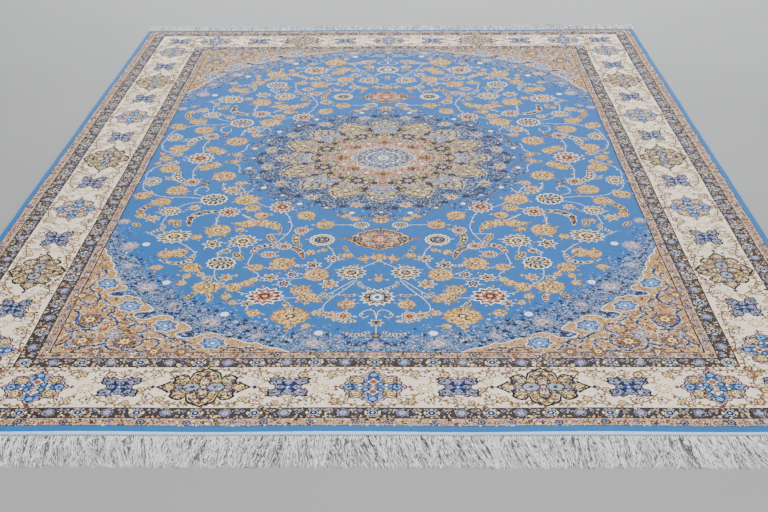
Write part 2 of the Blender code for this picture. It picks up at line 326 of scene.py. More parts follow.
# Scrolls in the corner piece: points of the midline
SCROLLS = (
    ((866, 930), (846, 962), (860, 1020), (838, 1050)),
    ((868, 1100), (836, 1120), (800, 1096), (780, 1130), (792, 1160)),
    ((850, 1180), (846, 1214), (818, 1244), (786, 1234), (776, 1204)),
    ((770, 1186), (742, 1206), (730, 1238), (752, 1256)),
    ((700, 1262), (676, 1236), (646, 1244), (640, 1274), (664, 1290)),
    ((724, 1290), (706, 1312), (712, 1348), (690, 1366), (656, 1358)),
    ((640, 1330), (612, 1318), (592, 1334), (600, 1362)),
    ((560, 1372), (536, 1352), (508, 1356), (492, 1376)),
    ((868, 1272), (846, 1284), (840, 1310), (852, 1336), (836, 1356), (812, 1366)),
    ((780, 1376), (752, 1366), (742, 1340), (760, 1326)),
    ((828, 1268), (800, 1276), (784, 1264)),
    ((410, 1376), (388, 1362), (362, 1372)),
    ((694, 1160), (716, 1180), (706, 1204), (682, 1226)),
    ((620, 1280), (596, 1292), (570, 1316), (560, 1340)),
    ((848, 900), (832, 930), (840, 966)),
    ((826, 1056), (812, 1090), (826, 1120), (850, 1130)),
    ((790, 1130), (760, 1140), (752, 1166), (770, 1186)),
    ((872, 1160), (852, 1176), (852, 1212), (868, 1236)),
    ((776, 1204), (790, 1250), (826, 1250), (852, 1226)),
    ((752, 1256), (782, 1270), (830, 1268), (858, 1286)),
    ((730, 1300), (742, 1322), (736, 1356), (716, 1376)),
    ((664, 1290), (644, 1306), (640, 1340), (656, 1358)),
    ((600, 1362), (620, 1380), (664, 1382), (690, 1370)),
    ((570, 1316), (536, 1322), (520, 1340), (536, 1352)),
    ((492, 1376), (470, 1362), (440, 1372)),
    ((362, 1372), (332, 1366), (306, 1378)),
    ((812, 1366), (790, 1352), (760, 1352), (742, 1342)),
    ((852, 1336), (872, 1352), (868, 1380)),
)

# Brown veins between the scrolls
TAN_VEINS = (
    ((858, 880), (850, 920), (862, 950)),
    ((846, 1070), (820, 1090), (812, 1130), (838, 1150)),
    ((768, 1150), (752, 1180), (722, 1190)),
    ((800, 1170), (764, 1226), (720, 1262), (676, 1288), (640, 1316)),
    ((720, 1230), (690, 1250), (700, 1284)),
    ((630, 1250), (606, 1272), (566, 1284)),
    ((560, 1322), (520, 1336), (484, 1344)),
    ((650, 1372), (690, 1380), (730, 1372)),
    ((420, 1366), (390, 1380), (340, 1376), (300, 1380)),
    ((850, 1290), (866, 1320), (860, 1350)),
    ((784, 1350), (810, 1372), (846, 1368)),
)

# Flowers of the corner piece: kind, x, y, radius
SPANDREL_FLOWERS = (
    ("ochre", 812, 1212, 36), ("ochre", 688, 1332, 36), ("ochre", 806, 1326, 32),
    ("ochre", 598, 1384, 26), ("ochre", 870, 1072, 26), ("ochre", 870, 1244, 20),
    ("ochre", 522, 1386, 20), ("ochre", 868, 1142, 18), ("ochre", 756, 1384, 20),
    ("orange", 758, 1266, 32), ("haze", 724, 1296, 26), ("plum", 744, 1292, 14),
    ("daisy", 786, 1296, 18), ("bud", 862, 1376, 16), ("bud", 640, 1214, 16), ("bud", 770, 1120, 18),
    ("bud", 450, 1380, 14),
)

BORDER_REPEAT = 434             # from a cross to the next star along the rug's end

# Sprays of the cream border, over a repeat from the cross to the star: kind, along, across, radius
BORDER_SPRAYS = (
    ("wreath", 132, 8, 24), ("wreath", 294, -24, 17), ("spray", 276, 12, 13), ("spray", 184, -56, 17),
    ("spray", 98, 64, 12), ("spray", 330, 54, 14), ("spray", 246, 70, 12), ("spray", 250, -62, 12),
    ("spray", 112, -56, 12),
)

# Its main vines: points of the midline as along, across
BORDER_VINES = (
    ((150, 30), (176, 60), (214, 78), (260, 84), (300, 74), (336, 62)),
    ((116, 30), (98, 56), (104, 82)),
    ((196, -68), (150, -78), (112, -64), (104, -40)),
    ((204, -48), (240, -40), (262, -62), (302, -78), (336, -66), (352, -40)),
    ((294, -4), (284, 20), (262, 36)),
    ((104, 82), (60, 76), (30, 86), (0, 84)),
    ((112, -72), (70, -80), (40, -76), (0, -86)),
    ((336, 62), (370, 78), (410, 74), (440, 86)),
    ((336, -66), (372, -74), (400, -84), (440, -80)),
)

# Curls that spring from them: along, across, radius, direction of the stem in degrees, way it winds
BORDER_CURLS = (
    (158, -34, 20, 250, 1), (140, 60, 17, 60, -1), (214, 56, 15, 90, 1), (222, -66, 15, 200, -1),
    (300, 48, 18, 120, 1), (306, -56, 16, 260, -1), (276, -36, 14, 20, 1), (352, 82, 12, 180, 1),
    (352, -84, 12, 0, 1), (90, -62, 17, 300, -1), (76, 58, 15, 100, 1), (392, 70, 12, 90, -1),
)

# Half of the gold star's edge in one quarter, from its side tip to its end tip: along, across
STAR_EDGE = (
    (119, 0), (104, 10), (95, 17), (88, 25), (80, 21), (77, 30), (81, 41), (72, 51), (59, 57), (51, 56),
    (44, 47), (40, 37), (37, 50), (34, 63), (22, 74), (10, 79), (0, 86),
)

# The same for the blue cross
CROSS_EDGE = (
    (86, 0), (79, 11), (73, 12), (71, 22), (66, 26), (69, 36), (60, 41), (60, 49), (46, 52), (38, 49),
    (30, 52), (27, 60), (16, 60), (12, 71), (6, 74), (0, 84),
)

# The same for the small floret, which has four outward lobes
FLORET_EDGE = (
    (32, 0), (36, 10), (46, 12), (51, 22), (47, 30), (50, 40), (37, 43), (30, 37), (21, 45), (14, 41),
    (9, 33), (0, 36),
)

# Half of a lobe of the medallion's edge: distance from the centre, half width
LOBE = (
    (250, 50), (285, 50), (300, 60), (326, 64), (345, 54), (362, 50), (376, 36), (390, 30), (398, 14),
    (412, 0),
)

# Sixteen lobes round the medallion: directions of their crowns and of the clefts between them, in degrees
CROWNS = [22.5 * k for k in range(-1, 6)]
CLEFTS = [22.5 * k + 11.25 for k in range(-2, 6)]

# What lies in a lobe, in turn for the sandy and the pale ones
LOBE_GROUNDS = ("sand", "lace")

# Its flowers: distance from the centre, degrees beside the crown, radius, kind
LOBE_FLOWERS = (
    (378, 0, 18, "bloom"), (338, 6.2, 21, "bloom"), (338, -6.2, 21, "bloom"), (300, 4.5, 15, "violet"),
    (300, -4.5, 15, "violet"),
)

# Layers of its heart: yarn, radius, lobes, depth of the clefts, form, stretch
LOBE_HEARTS = (
    (
        ("umber", 24, 6, 0.3, POINTED, 0.8), ("sand", 19, 6, 0.2, ROUND, 0.7),
        ("white", 8, 5, 0.2, ROUND, 0.7),
    ),
    (
        ("umber", 34, 6, 0.3, POINTED, 0.7), ("olive", 30, 6, 0.3, POINTED, 0.7),
        ("grey", 22, 6, 0.2, ROUND, 0.6), ("umber", 10, 6, 0.2, ROUND, 0.6),
    ),
)

# Layers of a cartouche: radius, form, yarn
CARTOUCHE_LAYERS = (
    (46, ROUND, "apricot"), (37.5, POINTED, "white"), (34.5, POINTED, "azure"), (30, POINTED, "steel"),
    (21, POINTED, "sky"), (12, POINTED, "azure"), (6, POINTED, "pale"),
)

# Florets of the tan guard borders in turn: kind, radius
TAN_KINDS = (
    ("red", 9.5), ("slatey", 11), ("brown", 9), ("brown", 8), ("slatey", 12), ("red", 8), ("brown", 9),
    ("slatey", 12.5),
)

# The pendant: its place, and its edge in one quarter from its side tip to its end tip
PENDANT_Y = 697
PENDANT_EDGE = (
    (118, 0), (104, 8), (94, 10), (90, 24), (76, 30), (72, 44), (54, 50), (46, 62), (28, 64), (18, 74),
    (8, 74), (0, 84),
)

# The large palmette's place, and its leaf from the stem to the tip: aside and down
PALMETTE_Y = 1086
PALMETTE_LEAF = ((20, 50), (46, 66), (58, 90), (50, 100))

FIELD_CORNER = (877, 1388)
OVAL = (982, 1300)              # half axes of the clear field inside the haze
HAZE_FROM, HAZE_RISE = 0.975, 0.10
HAZE_LIMIT = 1.82               # sum of the shares of the corner's x and y where the marks end
HAZE_MARKS = 400
HAZE_SPACING = 16

# Small leaves of length 1, from the stem at the left to the tip
SPRIG = ((0.10, 0), (0.5, 0.26), (1, 0), (0.5, -0.26))
CURL_LEAF = ((0, 0), (0.5, 0.28), (1, 0), (0.5, -0.28))
SEPAL = ((0, 0), (0.45, 0.34), (1, 0.10), (0.6, -0.26))

# How sprigs follow each other: their sizes in turn, direction from the vine and what each adds to it
SPRIG_SIZES = (1.0, 0.72, 0.88)
SPRIG_TURN, SPRIG_SPREAD = 48, 9

CURL_WIDTH = 3.6
CURL_POINTS, CURL_STEP = 11, 45     # points of a curl and the degrees between them
CURL_SHRINK = 0.062             # share of its radius that a curl loses at each point
CURL_LEAVES_AT = (0, 2, 3, 5, 7)
CURL_LEAF_SIZE, CURL_BUD_SIZE = 0.66, 0.30
LEAF_THINNEST = 0.4
LEAF_START, LEAF_FULLNESS = 0.12, 0.6
FLAT_ENOUGH = 0.8               # an outline's point may lie this far off the line past it and be left out


# ------------------------------------------------------------------------------------------------
# Outlines

def spline(p, q, r, s, t):
    """A value between q and r on the smooth curve through four values."""
    return 0.5 * (2 * q + (r - p) * t + (2 * p - 5 * q + 4 * r - s) * t**2 + (3 * q - p - 3 * r + s) * t**3)


def smooth(points, steps):
    """A smooth curve through the points."""
    ends = [points[0], *points, points[-1]]
    curve = []
    for knots in zip(ends, ends[1:], ends[2:], ends[3:]):
        for i in range(steps):
            curve.append(tuple(spline(*values, i / steps) for values in zip(*knots)))
    return [*curve, points[-1]]


def lobed(radius, lobes, depth, form=ROUND, steps=4):
    """A closed outline of lobes round the origin."""
    points = []
    for i in range(lobes * steps):
        angle = 2 * math.pi * i / (lobes * steps)
        cleft = abs(math.sin(lobes * angle / 2)) if form == POINTED else 1 - abs(math.cos(lobes * angle / 2))
        reach = radius * (1 - depth * cleft)
        points.append((reach * math.cos(angle), reach * math.sin(angle)))
    return points


def grown(outline, size):
    return [(x * size, y * size) for x, y in outline]


def placed(points, x, y, turn=0, stretch=1):
    """The points stretched along x, turned by degrees and moved."""
    c, s = math.cos(math.radians(turn)), math.sin(math.radians(turn))
    return [(x + c * u * stretch - s * v, y + s * u * stretch + c * v) for u, v in points]


def polar(radius, degrees):
    """A place by its distance from the middle and its direction, clockwise from the rug's end."""
    return radius * math.sin(math.radians(degrees)), radius * math.cos(math.radians(degrees))


def four_fold(edge):
    """A closed outline from its part in the first quarter, which runs from one axis to the other."""
    right = list(edge[:-1])
    left = [(-x, y) for x, y in edge[:0:-1]]
    upper = right + left
    return upper + [(-x, -y) for x, y in upper]


def rectangle(half_width, low, high):
    return [(0, low), (half_width, low), (half_width, high), (0, high)]


def thinned(points):
    """The closed outline without the points that hardly bend it."""
    if len(points) < 6:
        return list(points)
    kept = [points[0]]
    for (x, y), (x1, y1) in zip(points[1:], [*points[2:], points[0]]):
        x0, y0 = kept[-1]
        chord = math.hypot(x1 - x0, y1 - y0)
        if abs((x1 - x0) * (y - y0) - (y1 - y0) * (x - x0)) > FLAT_ENOUGH * chord:
            kept.append((x, y))
    return kept


# ------------------------------------------------------------------------------------------------
# Drawing

class Chart:
    """The pattern of a quarter of the rug as flat shapes of one yarn each, painted in order."""

    def __init__(self):
        self.shapes = []

    def fill(self, yarn, points):
        if max(x for x, _ in points) > 0 and max(y for _, y in points) > 0:
            self.shapes.append((yarn, thinned(points)))

    def spot(self, yarn, x, y, radius, lobes, depth, form=ROUND, turn=0, stretch=1, steps=4):
        self.fill(yarn, placed(lobed(radius, lobes, depth, form, steps), x, y, turn, stretch))

    def stroke(self, yarn, line, widths):
        """A line of changing width, laid as four-sided pieces."""
        rails = []
        for i, (x, y) in enumerate(line):
            x0, y0 = line[max(i - 1, 0)]
            x1, y1 = line[min(i + 1, len(line) - 1)]
            length = math.hypot(x1 - x0, y1 - y0) or 1.0
            w = widths[i] / 2
            rails.append(((x - (y1 - y0) / length * w, y + (x1 - x0) / length * w),
                          (x + (y1 - y0) / length * w, y - (x1 - x0) / length * w)))
        for (a, b), (c, d) in zip(rails, rails[1:]):
            self.fill(yarn, [a, b, d, c])

    def vine(self, yarn, points, width=2.4, steps=5):
        line = smooth(points, steps)
        self.stroke(yarn, line, [width] * len(line))

    def sprigs(self, yarns, points, every, length):
        """Small pointed leaves on alternate sides of a vine, in turn of each yarn."""
        line = smooth(points, 6)
        walked, count = 0.0, 0
        for (x0, y0), (x1, y1) in zip(line, line[1:]):
            walked += math.hypot(x1 - x0, y1 - y0)
            if walked < every * (count + 0.6):
                continue
            side = SIDES[(count + 1) % 2]
            lean = side * (SPRIG_TURN + SPRIG_SPREAD * (count % 3))
            turn = math.degrees(math.atan2(y1 - y0, x1 - x0)) + lean
            size = length * SPRIG_SIZES[count % 3]
            self.fill(yarns[count % len(yarns)], placed(grown(SPRIG, size), x1, y1, turn))
            count += 1

    def curl(self, yarns, x, y, radius, start, winding):
        """A vine that winds inwards round its middle, with leaves outside and a bud at its end."""
        vine, leaf, bud = yarns
        line = []
        for i in range(CURL_POINTS):
            angle = math.radians(start + winding * CURL_STEP * i)
            reach = radius * (1 - CURL_SHRINK * i)
            line.append((x + reach * math.cos(angle), y + reach * math.sin(angle)))
        self.stroke(vine, line, [CURL_WIDTH] * len(line))
        for i in CURL_LEAVES_AT:
            turn = start + winding * (CURL_STEP * i + 40)
            self.fill(leaf, placed(grown(CURL_LEAF, CURL_LEAF_SIZE * radius), *line[i], turn))
        self.spot(bud, *line[-1], CURL_BUD_SIZE * radius, 4, 0.4, POINTED, steps=2)

    def leaf(self, inner, half_width, points, edge="white"):
        """A curved leaf with a saw-toothed edge and mottled flesh."""
        line = smooth(points, 5)
        last = len(line) - 1
        flesh = (inner, "umber", "butter", "umber", inner, "rust")
        shares = [min(1.0, LEAF_START + (1 - LEAF_START) * i / last) for i in range(last + 1)]
        bodies = [math.sin(math.pi * share) ** LEAF_FULLNESS for share in shares]
        for share, tooth, yarn in ((1.0, 0.34, edge), (0.76, 0.20, "umber"), (0.40, 0.30, None)):
            widths = [
                2 * half_width * share * body * (1 - tooth * (i % 2)) + LEAF_THINNEST
                for i, body in enumerate(bodies)
            ]
            if yarn:
                self.stroke(yarn, line, widths)
                continue
            for i in range(last):
                self.stroke(flesh[i % len(flesh)], line[i:i + 2], widths[i:i + 2])

    def flower(self, kind, x, y, radius, stretch=1, turn=0):
        """The layers of a flower, each turned a little against the one before, but for the outer two."""
        for i, (share, lobes, depth, form, yarn) in enumerate(FLOWERS[kind]):
            size = radius * share
            if size < SMALLEST_LAYER:
                break
            steps = 2 if form == POINTED or size < 12 else 3
            outline = placed(lobed(size, lobes, depth, form, steps), 0, 0, 17 * max(i - 1, 0))
            self.fill(yarn, placed(outline, x, y, turn, stretch))


class Band:
    """A straight run of a border: along it from a place on it, and across it outwards."""

    def __init__(self, chart, side, centre, start=0):
        self.chart = chart
        self.side = side
        self.centre = centre
        self.start = start

    def moved(self, along):
        return Band(self.chart, self.side, self.centre, along)

    def at(self, along, across):
        if self.side == "end":
            return self.start + along, self.centre + across
        return self.centre + across, self.start + along

    def map(self, points):
        return [self.at(*point) for point in points]

    def fill(self, yarn, points):
        self.chart.fill(yarn, self.map(points))

    def rings(self, outline, *layers):
        for size, yarn in layers:
            self.fill(yarn, grown(outline, size))

    def spot(self, yarn, along, across, radius, lobes, depth, form=ROUND, turn=0, stretch=1, steps=4):
        self.fill(yarn, placed(lobed(radius, lobes, depth, form, steps), along, across, turn, stretch))

    def flower(self, kind, along, across, radius):
        self.chart.flower(kind, *self.at(along, across), radius)

    def vine(self, yarn, points, width, steps):
        self.chart.vine(yarn, self.map(points), width, steps)

    def curl(self, yarns, along, across, radius, start, winding):
        stem = start if self.side == "end" else 90 - start
        self.chart.curl(yarns, *self.at(along, across), radius, stem, winding)

    def sprigs(self, yarns, points, every, length):
        self.chart.sprigs(yarns, self.map(points), every, length)

    def outline(self, yarn, points, width):
        line = self.map([*points, points[0]])
        self.chart.stroke(yarn, line, [width] * len(line))


# ------------------------------------------------------------------------------------------------
# Borders

def gold_star(band):
    outline = four_fold(STAR_EDGE)
    band.rings(outline, (1.045, "ink"), (0.955, "butter"), (0.915, "umber"), (0.855, "straw"))
    for yarn, radius in (("umber", 64), ("blush", 56)):
        band.spot(yarn, 0, 0, radius, 4, 0.62, POINTED, 0, 1.25, 6)
    for side in SIDES:
        band.spot("navy", side * 131, 0, 10, 4, 0.45, POINTED)
        band.flower("bloom", side * 90, 0, 20)
        band.flower("bloom", side * 12, 62, 13)
        band.flower("bloom", side * 12, -62, 13)
        band.spot("purple", 0, side * 52, 10, 5, 0.4, POINTED)
        for up in SIDES:
            band.flower("bloom", side * 58, up * 33, 20)
            band.flower("bloom", side * 62, up * 44, 12)
            band.spot("purple", side * 75, up * 17, 7, 5, 0.4)
    band.outline("ink", grown(outline, 1.015), 5.5)
    for side, turn in ((1, 0), (-1, 180)):
        band.spot("ink", side * 31, 0, 22, 6, 0.12, ROUND, turn, 1.2)
        band.spot("grey", side * 31, 0, 18, 6, 0.12, ROUND, turn, 1.2)
        band.spot("umber", side * 31, 0, 7, 5, 0.3, ROUND, turn)
        band.spot("purple", side * 63, 0, 12, 6, 0.12, ROUND, turn)
        band.spot("lavender", side * 63, 0, 9, 6, 0.12, ROUND, turn)
    for up, turn in ((1, 90), (-1, 270)):
        band.spot("umber", 0, up * 24, 17, 6, 0.2, ROUND, turn)
        band.spot("mist", 0, up * 24, 13, 6, 0.2, ROUND, turn)
    band.spot("navy", 0, 0, 11, 8, 0.3)
    band.spot("pink", 0, 0, 8, 8, 0.3)


def blue_cross(band):
    outline = four_fold(CROSS_EDGE)
    band.rings(outline, (1.04, "purple"), (0.98, "pink"), (0.92, "steel"), (0.86, "haze"))
    for side in SIDES:
        band.spot("red", side * 95, 0, 9, 4, 0.45, POINTED)
        band.spot("red", 0, side * 88, 6, 4, 0.45, POINTED)
        for up in SIDES:
            band.flower("bloom", side * 43, up * 30, 22)
    band.outline("purple", grown(outline, 1.01), 3.5)
    for yarn, radius, depth in (("navy", 76, 0.72), ("azure", 68, 0.70), ("steel", 50, 0.64)):
        band.spot(yarn, 0, 0, radius, 4, depth, POINTED, 0, 1.1, 6)
    for side in SIDES:
        band.spot("navy", side * 62, 0, 16, 6, 0.3)
        band.spot("sky", side * 62, 0, 12, 6, 0.3)
        band.spot("navy", side * 62, 0, 5, 5, 0.3)
        band.spot("navy", 0, side * 54, 14, 5, 0.3)
        band.spot("sky", 0, side * 54, 10, 5, 0.3)
        band.spot("ink", 0, side * 23, 20, 4, 0.42, POINTED)
        band.spot("white", 0, side * 23, 17, 4, 0.42, POINTED)
        band.spot("rust", 0, side * 23, 10, 4, 0.2)
        for up in SIDES:
            band.spot("navy", side * 19, up * 12, 11, 5, 0.3)
            band.spot("sky", side * 19, up * 12, 7, 5, 0.3)
            band.spot("white", side * 34, up * 8, 5, 4, 0.3)
    band.spot("gold", 0, 0, 8, 4, 0.3)


def small_floret(band):
    outline = four_fold(FLORET_EDGE)
    band.rings(outline, (1.06, "ink"), (0.95, "lavender"), (0.84, "navy"))
    band.spot("azure", 0, 0, 20, 4, 0.66, POINTED)
    for side in SIDES:
        for up in SIDES:
            band.spot("purple", side * 30, up * 24, 16.5, 5, 0.3)
            band.spot("haze", side * 30, up * 24, 14, 5, 0.3)
            band.spot("navy", side * 34, up * 26, 5, 4, 0.3)
            band.spot("lavender", side * 12, up * 30, 5, 4, 0.3)
        band.spot("grey", side * 21, 0, 9, 5, 0.3)
        band.spot("purple", side * 21, 0, 4, 4, 0.3)
        band.spot("haze", 0, side * 20, 11, 5, 0.3)
    band.outline("ink", outline, 3.5)
    band.spot("white", 0, 0, 4, 4, 0.2)


def scrollwork(band, first, pitch, from_cross, corner):
    """Vines, curls and sprays from one motif to the next, which start at the cross either way."""
    scale = pitch / BORDER_REPEAT

    def place(u):
        return first + scale * (u if from_cross else BORDER_REPEAT - u)

    for points in BORDER_VINES:
        run = [(place(u), v) for u, v in points]
        if max(u for u, _ in run) < corner + 60:
            band.vine("amber", run, 4.4, 3)
            band.sprigs(("amber", "ochre", "amber"), run, 11, 18)
    handed = 1 if (band.side == "end") == from_cross else -1
    for u, v, radius, start, winding in BORDER_CURLS:
        if place(u) < corner + 60:
            stem = start if from_cross else 180 - start
            band.curl(("amber", "ochre", "umber"), place(u), v, radius, stem, winding * handed)
    for kind, u, v, radius in BORDER_SPRAYS:
        if place(u) < corner + 50:
            band.flower(kind, place(u), v, radius)


def cream_border(chart):
    """Gold stars and blue crosses in turn, florets between them and golden scrollwork round them."""
    for side, centre, pitch, motifs, corner in (
        ("end", 1555.5, 434, (blue_cross, gold_star, blue_cross), 1050),
        ("side", 1050, 459, (gold_star, blue_cross, gold_star, blue_cross), 1555.5),
    ):
        band = Band(chart, side, centre)
        for k, motif in enumerate(motifs):
            scrollwork(band, k * pitch, pitch, motif is blue_cross, corner)
            if k * pitch + pitch / 2 < corner - 100:
                small_floret(band.moved((k + 0.5) * pitch))
        for k, motif in enumerate(motifs):
            motif(band.moved(k * pitch))
    small_floret(Band(chart, "end", 1555.5, 1050))


def blue_eye(band):
    for side in SIDES:
        band.spot("butter", side * 16.5, -1, 8, 4, 0.5, POINTED, 0, 0.5)
        band.spot("grey", side * 10, -15, 4.5, 4, 0.5, POINTED)
        band.spot("grey", side * 11, 11, 5, 4, 0.4, POINTED)
    band.spot("tan", 0, 17, 4.5, 4, 0.2)
    band.spot("tan", 0, -17, 4.5, 4, 0.2)
    for yarn, radius, lobes in (("pale", 12, 6), ("navy", 10.8, 6), ("steel", 5.4, 5), ("pale", 3.4, 4)):
        band.spot(yarn, 0, -1, radius, lobes, 0.1)


def leaf_clump(band):
    band.fill("tan", ((-12, 20), (-6, 10), (0, 15), (6, 9), (12, 20)))
    band.spot("umber", 0, 17, 4.5, 4, 0.3)
    band.spot("lavender", -6, -10, 6.8, 4, 0.4)
    band.spot("purple", -6, -10, 3.2, 4, 0.3)
    band.spot("lavender", 8, -13, 5.5, 4, 0.5, POINTED)
    band.spot("tan", 4, -1, 3.8, 4, 0.5, POINTED)


def dark_guard(chart, side, centre, corner, half_repeats):
    """Blue eyes and lilac rosettes in turn, with leaf clumps and little flowers between them."""
    band = Band(chart, side, centre)
    pitch = corner / half_repeats
    for k in range(half_repeats + 1):
        if k < half_repeats:
            leaf_clump(band.moved(k * pitch + pitch / 2))
        if k % 2:
            band.flower("lilac", k * pitch, -1, 16.5)
        else:
            blue_eye(band.moved(k * pitch))


def tan_guard(chart, side, centre, corner, florets):
    """Florets of several kinds in turn, with a twig and two buds between them."""
    band = Band(chart, side, centre)
    pitch = corner / florets
    for k in range(florets + 1):
        kind, radius = TAN_KINDS[k % len(TAN_KINDS)]
        up = (-1) ** k
        band.flower(kind, k * pitch, 2 * up, radius)
        if k < florets:
            band.spot("ochre", (k + 0.5) * pitch, -4 * up, 4, 4, 0.4, POINTED)
            band.spot("navy", (k + 0.26) * pitch, -6 * up, 3, 4, 0.3)
            twig = (((k + 0.3) * pitch, 5 * up), ((k + 0.5) * pitch, 1), ((k + 0.72) * pitch, -5 * up))
            band.vine("umber", twig, 1.5, 2)


# ------------------------------------------------------------------------------------------------
# Field and corner piece

def pendant(chart):
    """The small medallion between the large one and the end of the field."""
    y = PENDANT_Y
    outline = four_fold(PENDANT_EDGE)
    for size, yarn in ((1.0, "gold"), (0.93, "umber"), (0.84, "honey"), (0.70, "blush")):
        chart.fill(yarn, placed(grown(outline, size), 0, y))
    for side, turn in ((1, 0), (-1, 180)):
        chart.spot("rust", side * 124, y, 10, 4, 0.4, POINTED, turn)
        chart.flower("slatey", side * 70, y, 17)
        chart.flower("ochre", side * 40, y + side * 30, 15)
        chart.flower("ochre", side * 40, y - side * 30, 15)
    for up in SIDES:
        chart.flower("slatey", 0, y + up * 52, 16)
    chart.spot("slate", 0, y, 36, 8, 0.3, POINTED)
    chart.spot("salmon", 0, y, 28, 8, 0.3)
    chart.spot("pink", 0, y, 14, 6, 0.3)


def centre_palmette(chart):
    """The large palmette near the end of the field, with two leaves at its foot."""
    y = PALMETTE_Y
    for radius, lobes, yarn in ((55, 15, "white"), (47.3, 15, "umber"), (41.8, 13, "sand"), (34.1, 8, "ink")):
        chart.spot(yarn, 0, y, radius, lobes, 0.24, POINTED, 90)
    chart.spot("grey", 0, y, 23, 6, 0.20, ROUND, 90, 1.2)
    chart.spot("white", 0, y, 15, 6, 0.05, ROUND, 90, 1.2)
    chart.spot("azure", 0, y, 8, 6, 0.05, ROUND, 90, 1.4)
    for side in SIDES:
        chart.leaf("pale", 8, [(side * x, y - down) for x, down in PALMETTE_LEAF])


def sepals(chart):
    """A few golden leaves round each flower of the field, pointing any way."""
    draw = random.Random(5)
    for kind, x, y, radius, *_ in FIELD_FLOWERS:
        for _ in range(4 if kind in ("gold", "rosy", "spiky") else 2):
            away = draw.uniform(0, 360)
            size = draw.uniform(11, 18)
            points = [(radius * 0.92 + u * size, v * size) for u, v in SEPAL]
            chart.fill("honey", placed(points, x, y, away))
            chart.fill("gold", placed([(u + 1, v * 0.7) for u, v in points], x, y, away))


def field(chart):
    for points in FIELD_VINES:
        chart.sprigs(("honey", "gold", "butter"), points, 34, 15)
        chart.vine("pale", points)
    sepals(chart)
    for yarn, half_width, points in FIELD_LEAVES:
        chart.leaf(yarn, half_width, points, "butter" if yarn == "gold" else "white")
    for flower in FIELD_FLOWERS:
        chart.flower(*flower)
    centre_palmette(chart)
    pendant(chart)


def haze_at(x, y):
    """How dense the haze is, from 0 inside the oval to 1 near the corner piece."""
    out = (x / OVAL[0]) ** 2 + (y / OVAL[1]) ** 2
    return np.clip((out - HAZE_FROM) / HAZE_RISE, 0, 1)


def haze(chart):
    """Scattered marks and flowers between the inner oval and the corner piece."""
    draw = random.Random(7)
    marks = []
    while len(marks) < HAZE_MARKS:
        x, y = draw.uniform(0, 870), draw.uniform(450, 1380)
        if haze_at(x, y) < draw.uniform(0.15, 0.6):
            continue
        if x / FIELD_CORNER[0] + y / FIELD_CORNER[1] > HAZE_LIMIT:
            continue
        if any(math.hypot(x - a, y - b) < HAZE_SPACING for a, b in marks):
            continue
        marks.append((x, y))
        yarn = draw.choice(("navy", "ink", "steel", "halo", "haze", "navy"))
        chart.spot(yarn, x, y, draw.uniform(7, 12), 4, 0.5, POINTED, draw.uniform(0, 90), 1, 2)
    for flower in HAZE_FLOWERS:
        chart.flower(*flower)


def spandrel(chart):
    """The corner piece: tan ground cut up by blue scrolls, ochre flowers, cartouches at its edge."""
    edge = smooth(SPANDREL_EDGE, 2)
    chart.fill("apricot", [*edge, FIELD_CORNER])
    for x, y in LACE_LUMPS:
        chart.spot("halo", x, y, 26, 7, 0.3)
        chart.spot("navy", x, y, 9, 5, 0.4)
    for points in SCROLLS:
        chart.sprigs(("butter", "azure"), points, 17, 18)
        chart.vine("cream", points, 11.4)
        chart.vine("inlay", points, 9.2)
        chart.sprigs(("navy", "navy", "tan"), points, 12, 13)
    for points in TAN_VEINS:
        chart.vine("umber", points, 3.4)
        chart.sprigs(("rust", "cream", "umber"), points, 14, 13)
    for flower in SPANDREL_FLOWERS:
        chart.flower(*flower)
    chart.stroke("white", edge, [3.2] * len(edge))
    for x, y in CARTOUCHES:
        turn = math.degrees(math.atan2(y, x)) + 90
        for radius, form, yarn in CARTOUCHE_LAYERS:
            chart.spot(yarn, x, y, radius, 7, 0.24, form, turn, 1.15)


# ------------------------------------------------------------------------------------------------
# Medallion

def medallion_halo(chart):
    """A ragged halo of dark lace."""
    draw = random.Random(11)
    for _ in range(90):
        x, y = polar(draw.uniform(485, 535), draw.uniform(-2, 92))
        chart.spot("halo", x, y, draw.uniform(8, 17), 5, 0.45, ROUND, draw.uniform(0, 90))
    chart.spot("halo", 0, 0, 508, 16, 0.10, POINTED, 90)
    chart.spot("halo", 0, 0, 490, 16, 0.12, ROUND, 90)
    for angle in CLEFTS:
        chart.flower("orange", *polar(440, angle), 27, 1, -angle)
        for side in SIDES:
            chart.spot("navy", *polar(462, angle + 5.6 * side), 16, 5, 0.4, ROUND, -angle)
        chart.flower("pill", *polar(507, angle), 10)
        for side in SIDES:
            chart.spot("steel", *polar(485, angle + 4.0 * side), 11, 5, 0.4, ROUND, -angle)
    for angle in CROWNS:
        chart.flower("slatey", *polar(462, angle), 16)
        chart.spot("pale", *polar(492, angle), 8, 5, 0.4)


def lobe_outline(angle, grow):
    """The edge of the lobe in a direction, moved outwards."""
    half = [(r + grow, w + grow * 0.8) for r, w in LOBE]
    points = half + [(r, -w) for r, w in half[-2::-1]]
    c, s = math.cos(math.radians(angle)), math.sin(math.radians(angle))
    return [(r * s + w * c, r * c - w * s) for r, w in points]


def medallion_lobes(chart):
    """Sixteen lobes, pale and sandy in turn, with a dart in each cleft."""
    for i, angle in enumerate(CROWNS):
        for grow, yarn in ((2, "mist"), (-3.5, "umber"), (-9, LOBE_GROUNDS[i % 2])):
            chart.fill(yarn, lobe_outline(angle, grow))
        for distance, aside, size, kind in LOBE_FLOWERS:
            chart.flower(kind, *polar(distance, angle + aside), size)
        for yarn, radius, lobes, depth, form, stretch in LOBE_HEARTS[i % 2]:
            chart.spot(yarn, *polar(335, angle), radius, lobes, depth, form, -angle, stretch)
    for angle in CLEFTS:
        chart.spot("umber", *polar(300, angle), 34, 4, 0.5, POINTED, -angle, 0.5)
        chart.spot("navy", *polar(300, angle), 18, 4, 0.5, POINTED, -angle, 0.6)


